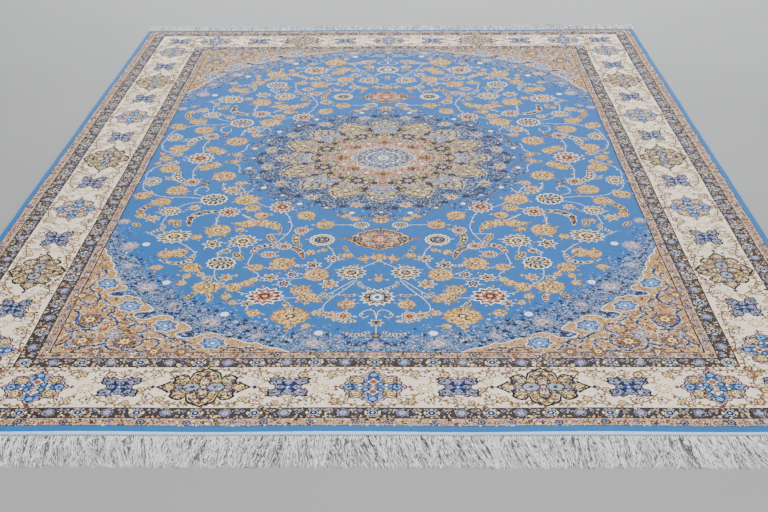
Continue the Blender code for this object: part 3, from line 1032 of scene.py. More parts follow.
def medallion_ring(chart):
    """The olive ring inside the lobes."""
    for yarn, radius in (("mist", 280), ("umber", 276), ("olive", 270)):
        chart.spot(yarn, 0, 0, radius, 16, 0.10)
    for i, angle in enumerate(CROWNS):
        x, y = polar(238, angle)
        if i % 2:
            for side in SIDES:
                chart.spot("navy", *polar(245, angle + 7.0 * side), 17, 5, 0.4, POINTED, -angle)
            chart.flower("red", x, y, 17)
            chart.spot("salmon", *polar(215, angle), 16, 6, 0.3)
        else:
            chart.spot("purple", x, y, 40, 7, 0.45, POINTED, -angle)
            chart.spot("navy", x, y, 26, 7, 0.45, POINTED, 20 - angle)
            chart.flower("orange", x, y, 16)
    for angle in CLEFTS:
        chart.spot("umber", *polar(225, angle), 17, 5, 0.4, POINTED)
        chart.spot("olive", *polar(225, angle), 11, 5, 0.4)
        chart.spot("amber", *polar(258, angle), 10, 5, 0.4)


def medallion_rose(chart):
    """The rose-coloured rosette."""
    for yarn, radius in (("lace", 203), ("umber", 198), ("blush", 194)):
        chart.spot(yarn, 0, 0, radius, 8, 0.10, ROUND, 90)
    for i, angle in enumerate(CROWNS):
        x, y = polar(158, angle)
        if i % 2:
            chart.spot("rust", x, y, 30, 8, 0.3, POINTED, -angle)
            chart.spot("ochre", x, y, 23, 8, 0.3, ROUND, -angle)
            chart.spot("umber", x, y, 10, 5, 0.3, ROUND, -angle)
        else:
            chart.spot("salmon", x, y, 18, 6, 0.3, ROUND, -angle)
            chart.spot("white", x, y, 9, 5, 0.3, ROUND, -angle)


def medallion_centre(chart):
    """The pale centre with its small sprigs."""
    for yarn, radius in (("white", 122), ("rust", 119.5), ("lace", 117)):
        chart.spot(yarn, 0, 0, radius, 8, 0.14, ROUND, 90)
    for angle in CLEFTS:
        chart.spot("slate", *polar(88, angle), 9, 5, 0.5)
        chart.spot("white", *polar(64, angle), 6, 5, 0.3)
    for angle in CROWNS:
        chart.spot("salmon", *polar(80, angle), 7, 5, 0.3)
        chart.spot("steel", *polar(46, angle), 8, 4, 0.5, POINTED)
    for distance, step in ((52, 24), (72, 18), (94, 13)):
        for k in range(int(90 / step) + 1):
            chart.spot("ink", *polar(distance, step * (k + 0.5)), 8.5, 3, 0.6, POINTED, 40 * k, 1, 2)
    for yarn, radius in (("umber", 32), ("pale", 26), ("blush", 12)):
        chart.spot(yarn, 0, 0, radius, 8, 0.3)


def draw_chart():
    """The whole quarter: each shape's yarn and its outline, now in metres."""
    chart = Chart()
    for half_width, half_length, yarn in BANDS:
        chart.fill(yarn, rectangle(half_width, 0, half_length))
    half_width, half_length, _ = BANDS[0]
    # Painted highlight along the last rows of the pile's ends
    chart.fill("edge_highlight", rectangle(half_width, half_length - END_HIGHLIGHT, half_length))
    tan_guard(chart, "end", 1710.5, 1209, 32)
    tan_guard(chart, "side", 1209, 1710.5, 46)
    dark_guard(chart, "end", 1671.5, 1168, 16)
    dark_guard(chart, "side", 1168, 1671.5, 22)
    cream_border(chart)
    dark_guard(chart, "end", 1440, 932, 12)
    dark_guard(chart, "side", 932, 1440, 18)
    tan_guard(chart, "end", 1403.5, 893.5, 24)
    tan_guard(chart, "side", 893.5, 1403.5, 38)
    haze(chart)
    field(chart)
    medallion_halo(chart)
    medallion_lobes(chart)
    medallion_ring(chart)
    medallion_rose(chart)
    medallion_centre(chart)
    spandrel(chart)
    return [(yarn, np.array(outline) / MM) for yarn, outline in chart.shapes]


# ------------------------------------------------------------------------------------------------
# The cloth's outline and waves, in metres: the same values as in the part's source

HALF_WIDTH, HALF_LENGTH = 1.25, 1.75
FRINGE_REACH = 1.880
PILE_HEIGHT = 0.009
BINDING_WIDTH = 0.008
BINDING_DROP = 0.0008
STRIP_WIDTH = 0.014
COLUMNS, ROWS = 20, 36
SIDE_RIPPLE, SIDE_RIPPLE_PITCH = 0.0030, 0.39
SIDE_DRIFT, SIDE_DRIFT_PITCH = 0.0040, 7.0
SIDE_PHASE = {LEFT: 2.3, RIGHT: 0.4}
DRIFT_PHASE = {LEFT: 3.4, RIGHT: 1.5}
END_RIPPLE, END_RIPPLE_PITCH = 0.0015, 0.62
END_PHASE = {FRONT: 0.9, BACK: 2.7}
END_SKEW = {FRONT: 0.005, BACK: 0.008}
EDGE_SWELL, EDGE_SWELL_REACH = 0.0022, 0.13
BROAD_SWELL = 0.0014
BROAD_PITCH_X, BROAD_PHASE_X = 1.30, 0.7
BROAD_PITCH_Y, BROAD_PHASE_Y = 0.95, 1.9

# How far the fringe's locks lean to the right: in the middle, gained to the side, swing, its pitch, phase
LOCK_LEAN = {
    FRONT: (0.008, 0.018, 0.013, 0.95, 0.6),
    BACK: (-0.004, 0.000, 0.010, 1.10, 2.0),
}
CORNER_POWER = 8

PATTERN_HALF_WIDTH = 1.242      # pile without the bindings
EDGE_ROUNDING = 0.004           # how far inside its edges the pile's tips fall away
ROUNDING_FALL = 0.6             # share of that by which they fall
FOUNDATION_TOP = 0.0034
FOUNDATION_COLUMNS, FOUNDATION_ROWS = 28, 72

ROW_PLACES = np.linspace(-HALF_LENGTH, HALF_LENGTH, ROWS + 1)
COLUMN_PLACES = np.linspace(-HALF_WIDTH, HALF_WIDTH, COLUMNS + 1)


def wave(position, pitch, phase):
    return 0.5 + 0.5 * np.cos(2 * math.pi * position / pitch + phase)


def lowered(values):
    return values - values.min()


SIDE_INSETS = {
    side: lowered(
        SIDE_RIPPLE * wave(ROW_PLACES, SIDE_RIPPLE_PITCH, SIDE_PHASE[side])
        + SIDE_DRIFT * wave(ROW_PLACES, SIDE_DRIFT_PITCH, DRIFT_PHASE[side])
    )
    for side in (LEFT, RIGHT)
}
END_INSETS = {
    end: lowered(
        END_SKEW[end] * (COLUMN_PLACES + HALF_WIDTH) / (2 * HALF_WIDTH)
        + END_RIPPLE * wave(COLUMN_PLACES, END_RIPPLE_PITCH, END_PHASE[end])
    )
    for end in (FRONT, BACK)
}


def side_edge(side, v):
    """X of the rug's outer edge at a place along it."""
    return side * (HALF_WIDTH - np.interp(v, ROW_PLACES, SIDE_INSETS[side]))


def end_edge(end, x):
    """Y of the pile's end at a place across the rug."""
    return end * (HALF_LENGTH - np.interp(x, COLUMN_PLACES, END_INSETS[end]))


def swell(x, y):
    """Height of the cloth's slow waves over its resting thickness."""
    from_side = (HALF_WIDTH - np.abs(x)) / EDGE_SWELL_REACH
    from_end = (HALF_LENGTH - np.abs(y)) / EDGE_SWELL_REACH
    side_phase = np.where(x > 0, SIDE_PHASE[RIGHT], SIDE_PHASE[LEFT])
    end_phase = np.where(y > 0, END_PHASE[BACK], END_PHASE[FRONT])
    along_side = wave(y, SIDE_RIPPLE_PITCH, side_phase) * np.exp(-from_side**2)
    along_end = wave(x, END_RIPPLE_PITCH, end_phase) * np.exp(-from_end**2)
    broad = wave(x, BROAD_PITCH_X, BROAD_PHASE_X) * wave(y, BROAD_PITCH_Y, BROAD_PHASE_Y)
    return EDGE_SWELL * np.maximum(along_side, along_end) + BROAD_SWELL * broad


def between_ends(x, v):
    """Y on the uneven cloth of a place along the straight pattern."""
    front, back = end_edge(FRONT, x), end_edge(BACK, x)
    return front + (back - front) * (v + HALF_LENGTH) / (2 * HALF_LENGTH)


def on_cloth(u, v):
    """Places of the straight pattern, carried to the uneven cloth."""
    left = side_edge(LEFT, v) + BINDING_WIDTH
    right = side_edge(RIGHT, v) - BINDING_WIDTH
    x = left + (right - left) * (u + PATTERN_HALF_WIDTH) / (2 * PATTERN_HALF_WIDTH)
    return x, between_ends(x, v)


def pile_top(u, v):
    """Height of the pile, rounded off at its edges."""
    x, y = on_cloth(u, v)
    inside = np.minimum(PATTERN_HALF_WIDTH - np.abs(u), HALF_LENGTH - np.abs(v))
    missing = np.clip(1 - inside / EDGE_ROUNDING, 0, 1)
    fall = ROUNDING_FALL * EDGE_ROUNDING * (1 - np.sqrt(np.clip(1 - missing**2, 0, 1)))
    return PILE_HEIGHT + swell(x, y) - fall


# ------------------------------------------------------------------------------------------------
# Pieces

SCENE = bpy.context.scene


def srgb_to_linear(values):
    values = np.asarray(values, dtype=float) / 255
    return np.where(values <= 0.04045, values / 12.92, ((values + 0.055) / 1.055) ** 2.4)


def make_piece(name, verts, faces, material, smooth_shaded=True):
    """An object with faces of any size; faces are lists or an array of corner numbers."""
    mesh = bpy.data.meshes.new(name)
    mesh.from_pydata([tuple(v) for v in verts], [], [tuple(f) for f in faces])
    mesh.polygons.foreach_set("use_smooth", [smooth_shaded] * len(mesh.polygons))
    mesh.materials.append(material)
    mesh.update()
    piece = bpy.data.objects.new(name, mesh)
    SCENE.collection.objects.link(piece)
    return piece


def declare(piece, node):
    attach(piece, "root")
    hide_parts(node)
    return piece


def tube_faces(steps, size, side):
    """Faces of a tube of rings, seen from outside whichever side of the rug it lies at."""
    faces = []
    for r in range(steps):
        for k in range(size):
            a, b = r * size + k, r * size + (k + 1) % size
            face = (a, b, b + size, a + size)
            faces.append(face if side < 0 else face[::-1])
    return faces


def tube_caps(steps, size, side):
    first = list(range(size))
    last = [steps * size + k for k in first]
    return [first[::-1], last] if side < 0 else [first, last[::-1]]


# ------------------------------------------------------------------------------------------------
# The pile: the chart cut into triangles, in six lengthwise strips

YARN_NAMES = list(YARNS)
STRIP_BOUND = 0.4385            # between the middle strip and the next; the border's starts at twice that
GRID_U, GRID_V = STRIP_BOUND / 3, 7 / 36
GRID_LINES = range(1, 9)
OUTLINE_ZONE = 0.050            # width of the zone whose cuts follow the bends of the cloth's outline
ROUNDING_STEPS = (0.0004, 0.0012, 0.0024, 0.0040)
MERGE_DISTANCE = 1e-6
PLACE_DECIMALS = 7              # places are rounded so that the front and back quarters meet
UV_LENGTHS = 3                  # a strip's texture map is folded into this many lengths
UV_MARGIN = 0.012
SLOPE_STEP = 0.0005
OUTWARD_RISE = 0.2              # how far the normals of the upright edges' feet point upwards

# Strips: name, side, from, to
STRIPS = (
    ("pile_left_border", LEFT, 2 * STRIP_BOUND, PATTERN_HALF_WIDTH),
    ("pile_left_field", LEFT, STRIP_BOUND, 2 * STRIP_BOUND),
    ("pile_left_middle", LEFT, 0.0, STRIP_BOUND),
    ("pile_right_middle", RIGHT, 0.0, STRIP_BOUND),
    ("pile_right_field", RIGHT, STRIP_BOUND, 2 * STRIP_BOUND),
    ("pile_right_border", RIGHT, 2 * STRIP_BOUND, PATTERN_HALF_WIDTH),
)


def cut_lines():
    """Segments across the quarter, as pairs of end points: a grid, the pile's rounded edge and the places
    where the cloth's outline bends."""
    u_end, v_end = PATTERN_HALF_WIDTH, HALF_LENGTH
    us = [GRID_U * i for i in GRID_LINES] + [u_end - step for step in ROUNDING_STEPS]
    vs = [GRID_V * i for i in GRID_LINES] + [v_end - step for step in ROUNDING_STEPS]
    lines = [((u, 0.0), (u, v_end)) for u in us] + [((0.0, v), (u_end, v)) for v in vs]
    lines += [((u_end - OUTLINE_ZONE, v), (u_end, v)) for v in ROW_PLACES[ROWS // 2 + 1:-1:2]]
    lines += [((u, v_end - OUTLINE_ZONE), (u, v_end)) for u in COLUMN_PLACES[COLUMNS // 2 + 1:-1]]
    return lines


def covered(outline, x, y):
    """Which of the places x, y lie inside the outline."""
    x0, y0 = outline[:, 0], outline[:, 1]
    x1, y1 = np.roll(x0, -1), np.roll(y0, -1)
    rising = (y0 <= y[:, None]) & (y1 > y[:, None])
    falling = (y0 > y[:, None]) & (y1 <= y[:, None])
    left_of = (x1 - x0) * (y[:, None] - y0) - (x[:, None] - x0) * (y1 - y0)
    return ((rising & (left_of > 0)).sum(axis=1) - (falling & (left_of < 0)).sum(axis=1)) != 0


def paint(shapes, middles):
    """The yarn at each triangle's middle: that of the last shape painted over it."""
    order = np.argsort(middles[:, 0])
    x, y = middles[order].T
    painted = np.full(len(middles), -1)
    for yarn, outline in shapes:
        (low_x, low_y), (high_x, high_y) = outline.min(axis=0), outline.max(axis=0)
        first, last = np.searchsorted(x, [low_x, high_x])
        near = first + np.nonzero((y[first:last] > low_y) & (y[first:last] < high_y))[0]
        inside = near[covered(outline, x[near], y[near])]
        painted[order[inside]] = YARN_NAMES.index(yarn)
    return painted


def quarter_mesh(shapes):
    """The chart cut into triangles: their corners, the triangles and the yarn of each."""
    verts, edges = [], []
    for _, outline in shapes:
        first, count = len(verts), len(outline)
        edges += [(first + i, first + (i + 1) % count) for i in range(count)]
        verts += outline.tolist()
    for line in cut_lines():
        edges.append((len(verts), len(verts) + 1))
        verts += line
    out = delaunay_2d_cdt([Vector(p) for p in verts], edges, [], 0, MERGE_DISTANCE, False)
    points = np.array([tuple(p) for p in out[0]])
    triangles = np.array(out[2])
    middles = points[triangles].mean(axis=1)
    painted = paint(shapes, middles)
    inside = (middles > 0) & (middles < (PATTERN_HALF_WIDTH, HALF_LENGTH))
    kept = inside.all(axis=1) & (painted >= 0)
    return points, triangles[kept], painted[kept]


def mirrored(side, low, high, points, triangles, yarn_of):
    """The quarter between two places across, for a side's front and back: places, faces and yarns."""
    middles = points[triangles].mean(axis=1)
    chosen = (middles[:, 0] > low) & (middles[:, 0] < high)
    used, faces = np.unique(triangles[chosen], return_inverse=True)
    faces = faces.reshape(-1, 3)
    places = np.vstack([points[used] * (side, end) for end in (FRONT, BACK)])
    places = np.round(places, PLACE_DECIMALS)
    faces = np.vstack([faces[:, ::end * side] + k * len(used) for k, end in enumerate((FRONT, BACK))])
    places, index = np.unique(places, axis=0, return_inverse=True)
    faces = index.reshape(-1)[faces]
    yarns = np.concatenate([yarn_of[chosen]] * 2)
    a, b, c = faces.T
    whole = (a != b) & (b != c) & (a != c)
    return places, faces[whole], yarns[whole]


def on_rim(values, limit):
    """Which places across or along lie on the cloth's outside."""
    return np.abs(np.abs(values) - limit) < MERGE_DISTANCE


def upright_edges(places, faces, yarns):
    """Faces from the pile's outer edge down to its feet, their yarns and the corner above each foot."""
    on_side, on_end = on_rim(places[:, 0], PATTERN_HALF_WIDTH), on_rim(places[:, 1], HALF_LENGTH)
    open_edges = {}
    for face, (a, b, c) in enumerate(faces):
        for p, q in ((a, b), (b, c), (c, a)):
            if open_edges.pop((q, p), None) is None:
                open_edges[p, q] = face
    feet, edge_faces, edge_yarns = {}, [], []
    for (p, q), face in open_edges.items():
        at_end = on_end[p] and on_end[q]
        if not at_end and not (on_side[p] and on_side[q]):
            continue
        foot_p = feet.setdefault(p, len(places) + len(feet))
        foot_q = feet.setdefault(q, len(places) + len(feet))
        edge_faces += [(q, p, foot_p), (q, foot_p, foot_q)]
        # The upright walls at the ends get the pale highlight instead of their own yarn: painted light over
        # their shade
        edge_yarns += [YARN_NAMES.index("edge_highlight") if at_end else yarns[face]] * 2
    return edge_faces, edge_yarns, list(feet)


def wave_normals(places, feet):
    """Shading that follows the cloth's waves, not the many small faces, and points outwards at the feet."""
    u, v = places.T
    slope_u = (pile_top(u + SLOPE_STEP, v) - pile_top(u - SLOPE_STEP, v)) / (2 * SLOPE_STEP)
    slope_v = (pile_top(u, v + SLOPE_STEP) - pile_top(u, v - SLOPE_STEP)) / (2 * SLOPE_STEP)
    upward = np.column_stack([-slope_u, -slope_v, np.ones(len(u))])
    outward = np.column_stack([
        np.sign(u[feet]) * on_rim(u[feet], PATTERN_HALF_WIDTH),
        np.sign(v[feet]) * on_rim(v[feet], HALF_LENGTH),
        np.full(len(feet), OUTWARD_RISE),
    ])
    normals = np.vstack([upward, outward])
    return normals / np.linalg.norm(normals, axis=1)[:, None]


def colour_pile(mesh, places, faces, yarns):
    """Yarn colours, with the haze's density where the ground is the field's blue."""
    palette = np.array([[*srgb_to_linear(yarn[:3]), yarn[3]] for yarn in YARNS.values()])
    colours = np.repeat(palette[yarns], 3, axis=0)
    in_field = np.repeat(yarns == YARN_NAMES.index("field"), 3)
    x, y = MM * np.abs(places[faces.reshape(-1)]).T
    colours[in_field, 3] = haze_at(x, y)[in_field]
    attribute = mesh.color_attributes.new("yarn", "FLOAT_COLOR", "CORNER")
    attribute.data.foreach_set("color", colours.reshape(-1))


def map_pile(mesh, places, faces, low, high):
    """The strip's texture map, folded into lengths that lie side by side."""
    length = 2 * HALF_LENGTH / UV_LENGTHS
    u, v = np.abs(places[:, 0]), places[:, 1]
    middle = v[faces].mean(axis=1)
    fold = np.repeat(np.clip(np.floor((middle + HALF_LENGTH) / length), 0, UV_LENGTHS - 1), 3)
    corners = faces.reshape(-1)
    across = (u[corners] - low) / (high - low)
    along = (v[corners] + HALF_LENGTH) / length - fold
    kept = 1 - 2 * UV_MARGIN
    uv = np.column_stack([
        (fold + UV_MARGIN + kept * np.clip(across, 0, 1)) / UV_LENGTHS,
        UV_MARGIN + kept * np.clip(along, 0, 1),
    ])
    mesh.uv_layers.new(name="OFBake").data.foreach_set("uv", uv.reshape(-1))


def pile_strip(name, side, low, high, quarter, material):
    """One lengthwise strip of the pile, front and back quarter together."""
    places, faces, yarns = mirrored(side, low, high, *quarter)
    edge_faces, edge_yarns, feet = upright_edges(places, faces, yarns)
    x, y = on_cloth(*places.T)
    verts = np.column_stack([x, y, pile_top(*places.T)])
    low_verts = verts[feet]
    low_verts[:, 2] = FOUNDATION_TOP
    normals = wave_normals(places, feet)

    places = np.vstack([places, places[feet]])
    faces = np.vstack([faces, edge_faces])
    yarns = np.concatenate([yarns, edge_yarns]).astype(int)
    piece = make_piece(name, np.vstack([verts, low_verts]), faces, material)
    colour_pile(piece.data, places, faces, yarns)
    map_pile(piece.data, places, faces, low, high)
    piece.data.normals_split_custom_set_from_vertices([tuple(n) for n in normals])
    return piece


def foundation(material):
    """A thin closed slab with the cloth's outline, which the pile stands on."""
    us = np.linspace(-PATTERN_HALF_WIDTH, PATTERN_HALF_WIDTH, FOUNDATION_COLUMNS + 1)
    vs = np.linspace(-HALF_LENGTH, HALF_LENGTH, FOUNDATION_ROWS + 1)
    grid_u, grid_v = np.meshgrid(us, vs)
    x, y = on_cloth(grid_u.ravel(), grid_v.ravel())
    count = len(x)
    verts = np.vstack([np.column_stack([x, y, np.full(count, z)]) for z in (FOUNDATION_TOP, 0.0)])
    w, h = len(us), len(vs)
    faces = []
    for j in range(h - 1):
        for i in range(w - 1):
            a = j * w + i
            faces.append((a, a + 1, a + w + 1, a + w))
            faces.append((count + a, count + a + w, count + a + w + 1, count + a + 1))
    rim = list(range(w)) + [w * (j + 1) - 1 for j in range(1, h)]
    rim += [w * (h - 1) + i for i in range(w - 2, -1, -1)] + [w * j for j in range(h - 2, 0, -1)]
    for a, b in zip(rim, rim[1:] + rim[:1]):
        faces.append((b, a, count + a, count + b))
    return make_piece("rug_ground", verts, faces, material, False)


# ------------------------------------------------------------------------------------------------
# Overcast side cords

WRAP_PITCH = 0.0040
CORD_SIDES = 6
CORD_RIDGE = 0.00035            # how far the turns of yarn stand out
CORD_OVERLAP = 0.0003
FLOOR_GAP = 0.0002              # the cord's underside stays this high


def binding(side, name, material):
    """The cord along a long side, with its oblique turns of yarn."""
    steps = int(2 * HALF_LENGTH / (WRAP_PITCH / 2))
    v = np.linspace(-HALF_LENGTH, HALF_LENGTH, steps + 1)
    outer = side_edge(side, v)
    inner = outer - side * (BINDING_WIDTH - CORD_OVERLAP)
    y = between_ends(inner, v)
    height = PILE_HEIGHT + swell(inner, y) - BINDING_DROP
    lines = []
    for k in range(CORD_SIDES):
        angle = 2 * math.pi * k / CORD_SIDES
        ridge = CORD_RIDGE * np.cos(2 * math.pi * (v / WRAP_PITCH) + angle * 0.5)
        across = 0.5 - 0.5 * math.cos(angle)
        up = 0.5 + 0.5 * math.copysign(abs(math.sin(angle)) ** 0.8, math.sin(angle))
        x = inner + (outer - inner) * across + side * ridge * -math.cos(angle)
        z = np.maximum(height * up + ridge * math.sin(angle), FLOOR_GAP)
        lines.append(np.column_stack([x, y, z]))
    verts = np.stack(lines, axis=1).reshape(-1, 3)
    faces = tube_faces(steps, CORD_SIDES, side) + tube_caps(steps, CORD_SIDES, side)
    return make_piece(name, verts, faces, material)


# ------------------------------------------------------------------------------------------------
# End strips, stitches and fringe

STRIP_COLUMNS = 320
STRIP_RIPPLE, STRIP_RIPPLE_TURNS = 0.0002, 900
STRIP_RIPPLE_FROM = 0.002       # height above which the strip is rippled

# Section of the strip: outwards from the pile's end, up
STRIP_SECTION = (
    (0.0003, 0.0000), (0.0003, 0.0034), (0.0030, 0.0040), (0.0070, 0.0038), (0.0110, 0.0030),
    (STRIP_WIDTH, 0.0016), (STRIP_WIDTH, 0.0000),
)

STITCH_PITCH = 0.0049
STITCH_INSET = 0.003
STITCH_HALF_WIDTH, STITCH_SPREAD = 0.0012, 0.0002
STITCH_LEAN = 0.0005
STITCH_SHOULDER = 0.0008        # how far a stitch's sides lie under its ridge

# Ridge of a stitch: outwards from the pile's end, up
STITCH_RIDGE = ((0.0044, 0.0046), (0.0062, 0.0056), (0.0116, 0.0052))


def end_strip(end, name, material):
    """The narrow woven band between the pile and the fringe."""
    corner_x = [side_edge(side, end * HALF_LENGTH) for side in (LEFT, RIGHT)]
    x = np.linspace(*corner_x, STRIP_COLUMNS + 1)
    edge = end_edge(end, x)
    lines = []
    for out, up in STRIP_SECTION:
        ripple = STRIP_RIPPLE * np.sin(x * STRIP_RIPPLE_TURNS) * (up > STRIP_RIPPLE_FROM)
        lines.append(np.column_stack([x, edge + end * out, up + ripple]))
    verts = np.stack(lines, axis=1).reshape(-1, 3)
    size = len(STRIP_SECTION)
    faces = tube_faces(STRIP_COLUMNS, size, end) + tube_caps(STRIP_COLUMNS, size, end)
    return make_piece(name, verts, faces, material)


def stitches(end, name, material):
    """A row of dark overhand stitches over the strip's outer edge."""
    left = side_edge(LEFT, end * HALF_LENGTH) + STITCH_INSET
    right = side_edge(RIGHT, end * HALF_LENGTH) - STITCH_INSET
    draw = random.Random(31 + end)
    verts, faces = [], []
    steps = len(STITCH_RIDGE) - 1
    for x in np.arange(left, right, STITCH_PITCH):
        edge = float(end_edge(end, x))
        half = STITCH_HALF_WIDTH + STITCH_SPREAD * draw.random()
        lean = STITCH_LEAN * draw.uniform(-1, 1)
        base = len(verts)
        for k, (out, up) in enumerate(STITCH_RIDGE):
            middle, y, low = x + lean * k / steps, edge + end * out, up - STITCH_SHOULDER
            verts += [(middle - half, y, low), (middle, y, up), (middle + half, y, low)]
        for k in range(steps):
            for a in (base + 3 * k, base + 3 * k + 1):
                face = (a, a + 1, a + 4, a + 3)
                faces.append(face if end > 0 else face[::-1])
        for k in (0, steps):
            a = base + 3 * k
            faces.append((a, a + 1, a + 2) if (k == 0) == (end < 0) else (a + 2, a + 1, a))
        left_foot = [base + 3 * k for k in range(steps + 1)]
        under = left_foot + [a + 2 for a in left_foot[::-1]]
        faces.append(under if end < 0 else under[::-1])
    return make_piece(name, verts, faces, material)


THREADS_PER_STITCH = {FRONT: 5, BACK: 3}
THREAD_RINGS = 6
THREAD_SIDES = 3
THREAD_GIRTH = (0.00080, 0.00125)
THREAD_TAPER = 0.55             # share of its girth that a thread has lost at its tip
THREAD_FLOOR_GAP = 0.0001
FRINGE_INSET = 0.002            # of the first bunch from the corner
ROOT_DEPTH = 0.0042             # the threads start this far inside the strip
WANDER_FROM, WANDER_STEP = -1.3, 0.030
WANDER, BROAD_WANDER = 0.014, 0.010
BUNCH_STRAY, THREAD_STRAY = 0.008, 0.0105
ROOT_STRAY = 0.0024
CORNER_GRIP = 0.15              # share of its lean that a thread keeps at the corners
WILD_SHARE, WILD_LEAN, WILD_LIFT = 0.12, 0.05, 0.0065
UNDER_SHARE = 0.16              # bunches that lie beneath their neighbours, with painted shade in their colour
RAGGED = 0.010
BOW, KINK = 0.004, 0.0016
UNDER_LIFT, UPPER_LIFT = (0.0000, 0.0008), (0.0022, 0.0052)
LIFT_STRAY = 0.0008
ROOT_HEIGHT, LYING_HEIGHT, RIPPLE_HEIGHT = 0.0034, 0.0009, 0.0006
# Tones of the threads: the low ones are painted shade for threads in the shade of others, the high ones lit
# white
SHADED_TONES, LIT_TONES = (0.04, 0.34), (0.34, 1.10)
SHADED_SHARE = 0.06
LEAN_POWER, RISE_POWER = 1.35, 1.1
SPILL = 0.004                   # threads reach at most this far beyond the rug's sides


def fringe_lean(end, x):
    """How far to the right a lock's tip lies of its root, as in the part's source."""
    middle, gained, swing, pitch, phase = LOCK_LEAN[end]
    lean = middle + gained * x / HALF_WIDTH + swing * np.sin(2 * math.pi * x / pitch + phase)
    return lean * (1 - (np.abs(x) / HALF_WIDTH) ** CORNER_POWER)


def thread_lines(end, t):
    """Midlines, radii, phases, roots and tones of the threads, at the shares t of their length; a low tone is
    painted shade.
    """
    draw = np.random.default_rng(50 + end)
    threads = THREADS_PER_STITCH[end]
    left = side_edge(LEFT, end * HALF_LENGTH) + FRINGE_INSET
    right = side_edge(RIGHT, end * HALF_LENGTH) - FRINGE_INSET
    bunches = int((right - left) / STITCH_PITCH)
    count = bunches * threads
    bunch_x = np.linspace(left, right, bunches)
    knots = np.arange(WANDER_FROM, -WANDER_FROM + 0.01, WANDER_STEP)

    wander = np.interp(bunch_x, knots, draw.normal(0, WANDER, len(knots)))
    wander += np.interp(bunch_x, knots[::4], draw.normal(0, BROAD_WANDER, len(knots[::4])))
    stray = draw.normal(0, BUNCH_STRAY, bunches)
    wild = np.where(draw.random(bunches) < WILD_SHARE, draw.uniform(-WILD_LEAN, WILD_LEAN, bunches), 0)
    under = (draw.random(bunches) < UNDER_SHARE) & (wild == 0)
    under[1:] &= ~under[:-1]
    root = np.repeat(bunch_x, threads) + draw.uniform(-ROOT_STRAY, ROOT_STRAY, count)
    lean = np.repeat(fringe_lean(end, bunch_x) + wander + stray + wild, threads)
    lean += draw.normal(0, THREAD_STRAY, count)
    lean *= np.clip(1 - (np.abs(root) / HALF_WIDTH) ** CORNER_POWER + CORNER_GRIP, 0, 1)
    reach = FRINGE_REACH - RAGGED * draw.random(count) ** 1.5
    reach -= np.repeat(RAGGED * draw.random(bunches), threads)
    bow = draw.normal(0, BOW, count) + np.repeat(draw.normal(0, BOW, bunches), threads)
    kink = draw.normal(0, KINK, count)
    lying = np.where(under, draw.uniform(*UNDER_LIFT, bunches), draw.uniform(*UPPER_LIFT, bunches))
    lift = np.repeat(np.where(wild != 0, WILD_LIFT, lying), threads)
    lift += draw.uniform(0, LIFT_STRAY, count)
    phase = draw.uniform(0, 6.28, count)
    girth = draw.uniform(*THREAD_GIRTH, count)
    # Threads of the bunches beneath, and a few others, get painted shade: a low tone
    shaded = np.repeat(under, threads) | (draw.random(count) < SHADED_SHARE)
    tone = np.where(shaded, draw.uniform(*SHADED_TONES, count), draw.uniform(*LIT_TONES, count))

    start = end_edge(end, root) + end * (STRIP_WIDTH - ROOT_DEPTH)
    root, lean, reach, bow, kink, lift, phase, girth, tone, start = (
        values[:, None] for values in (root, lean, reach, bow, kink, lift, phase, girth, tone, start)
    )
    radius = girth * (1 - THREAD_TAPER * t**2)
    x = root + lean * t**LEAN_POWER + bow * np.sin(math.pi * t) + kink * np.sin(3 * math.pi * t + phase)
    y = start + (end * reach - start) * t
    rise = np.sin(math.pi * np.clip(t * 1.05, 0, 1)) ** RISE_POWER
    z = ROOT_HEIGHT * (1 - t) + LYING_HEIGHT + lift * rise + RIPPLE_HEIGHT * np.sin(5 * t + phase)
    x = np.clip(x, -HALF_WIDTH - SPILL, HALF_WIDTH + SPILL)
    z = np.maximum(z, radius + THREAD_FLOOR_GAP)
    return (x, y, z), radius, phase, root, tone


def fringe(end, name, material):
    """Fine threads in loose bunches, one bunch to a stitch."""
    t = np.linspace(0, 1, THREAD_RINGS)
    (x, y, z), radius, phase, root, tone = thread_lines(end, t)
    lines = []
    for k in range(THREAD_SIDES):
        turn = 2 * math.pi * k / THREAD_SIDES + phase
        lines.append(np.stack([x + radius * np.cos(turn), y, z + radius * np.sin(turn)], axis=-1))
    verts = np.stack(lines, axis=2).reshape(-1, 3)
    steps = THREAD_RINGS - 1
    first = (np.arange(len(root)) * THREAD_RINGS * THREAD_SIDES)[:, None, None]
    sides = (first + tube_faces(steps, THREAD_SIDES, end)).reshape(-1, 4)
    tips = (first + tube_caps(steps, THREAD_SIDES, end)[1:]).reshape(-1, THREAD_SIDES)
    piece = make_piece(name, verts, sides.tolist() + tips.tolist(), material)

    # Each thread carries its tone of painted shade, its root and the share of its length, for its material
    marks = np.stack(np.broadcast_arrays(tone, root, t), axis=-1)
    marks = np.repeat(marks, THREAD_SIDES, axis=1)
    thread = piece.data.attributes.new("thread", "FLOAT_VECTOR", "POINT")
    thread.data.foreach_set("vector", marks.reshape(-1))
    return piece


# ------------------------------------------------------------------------------------------------
# Materials

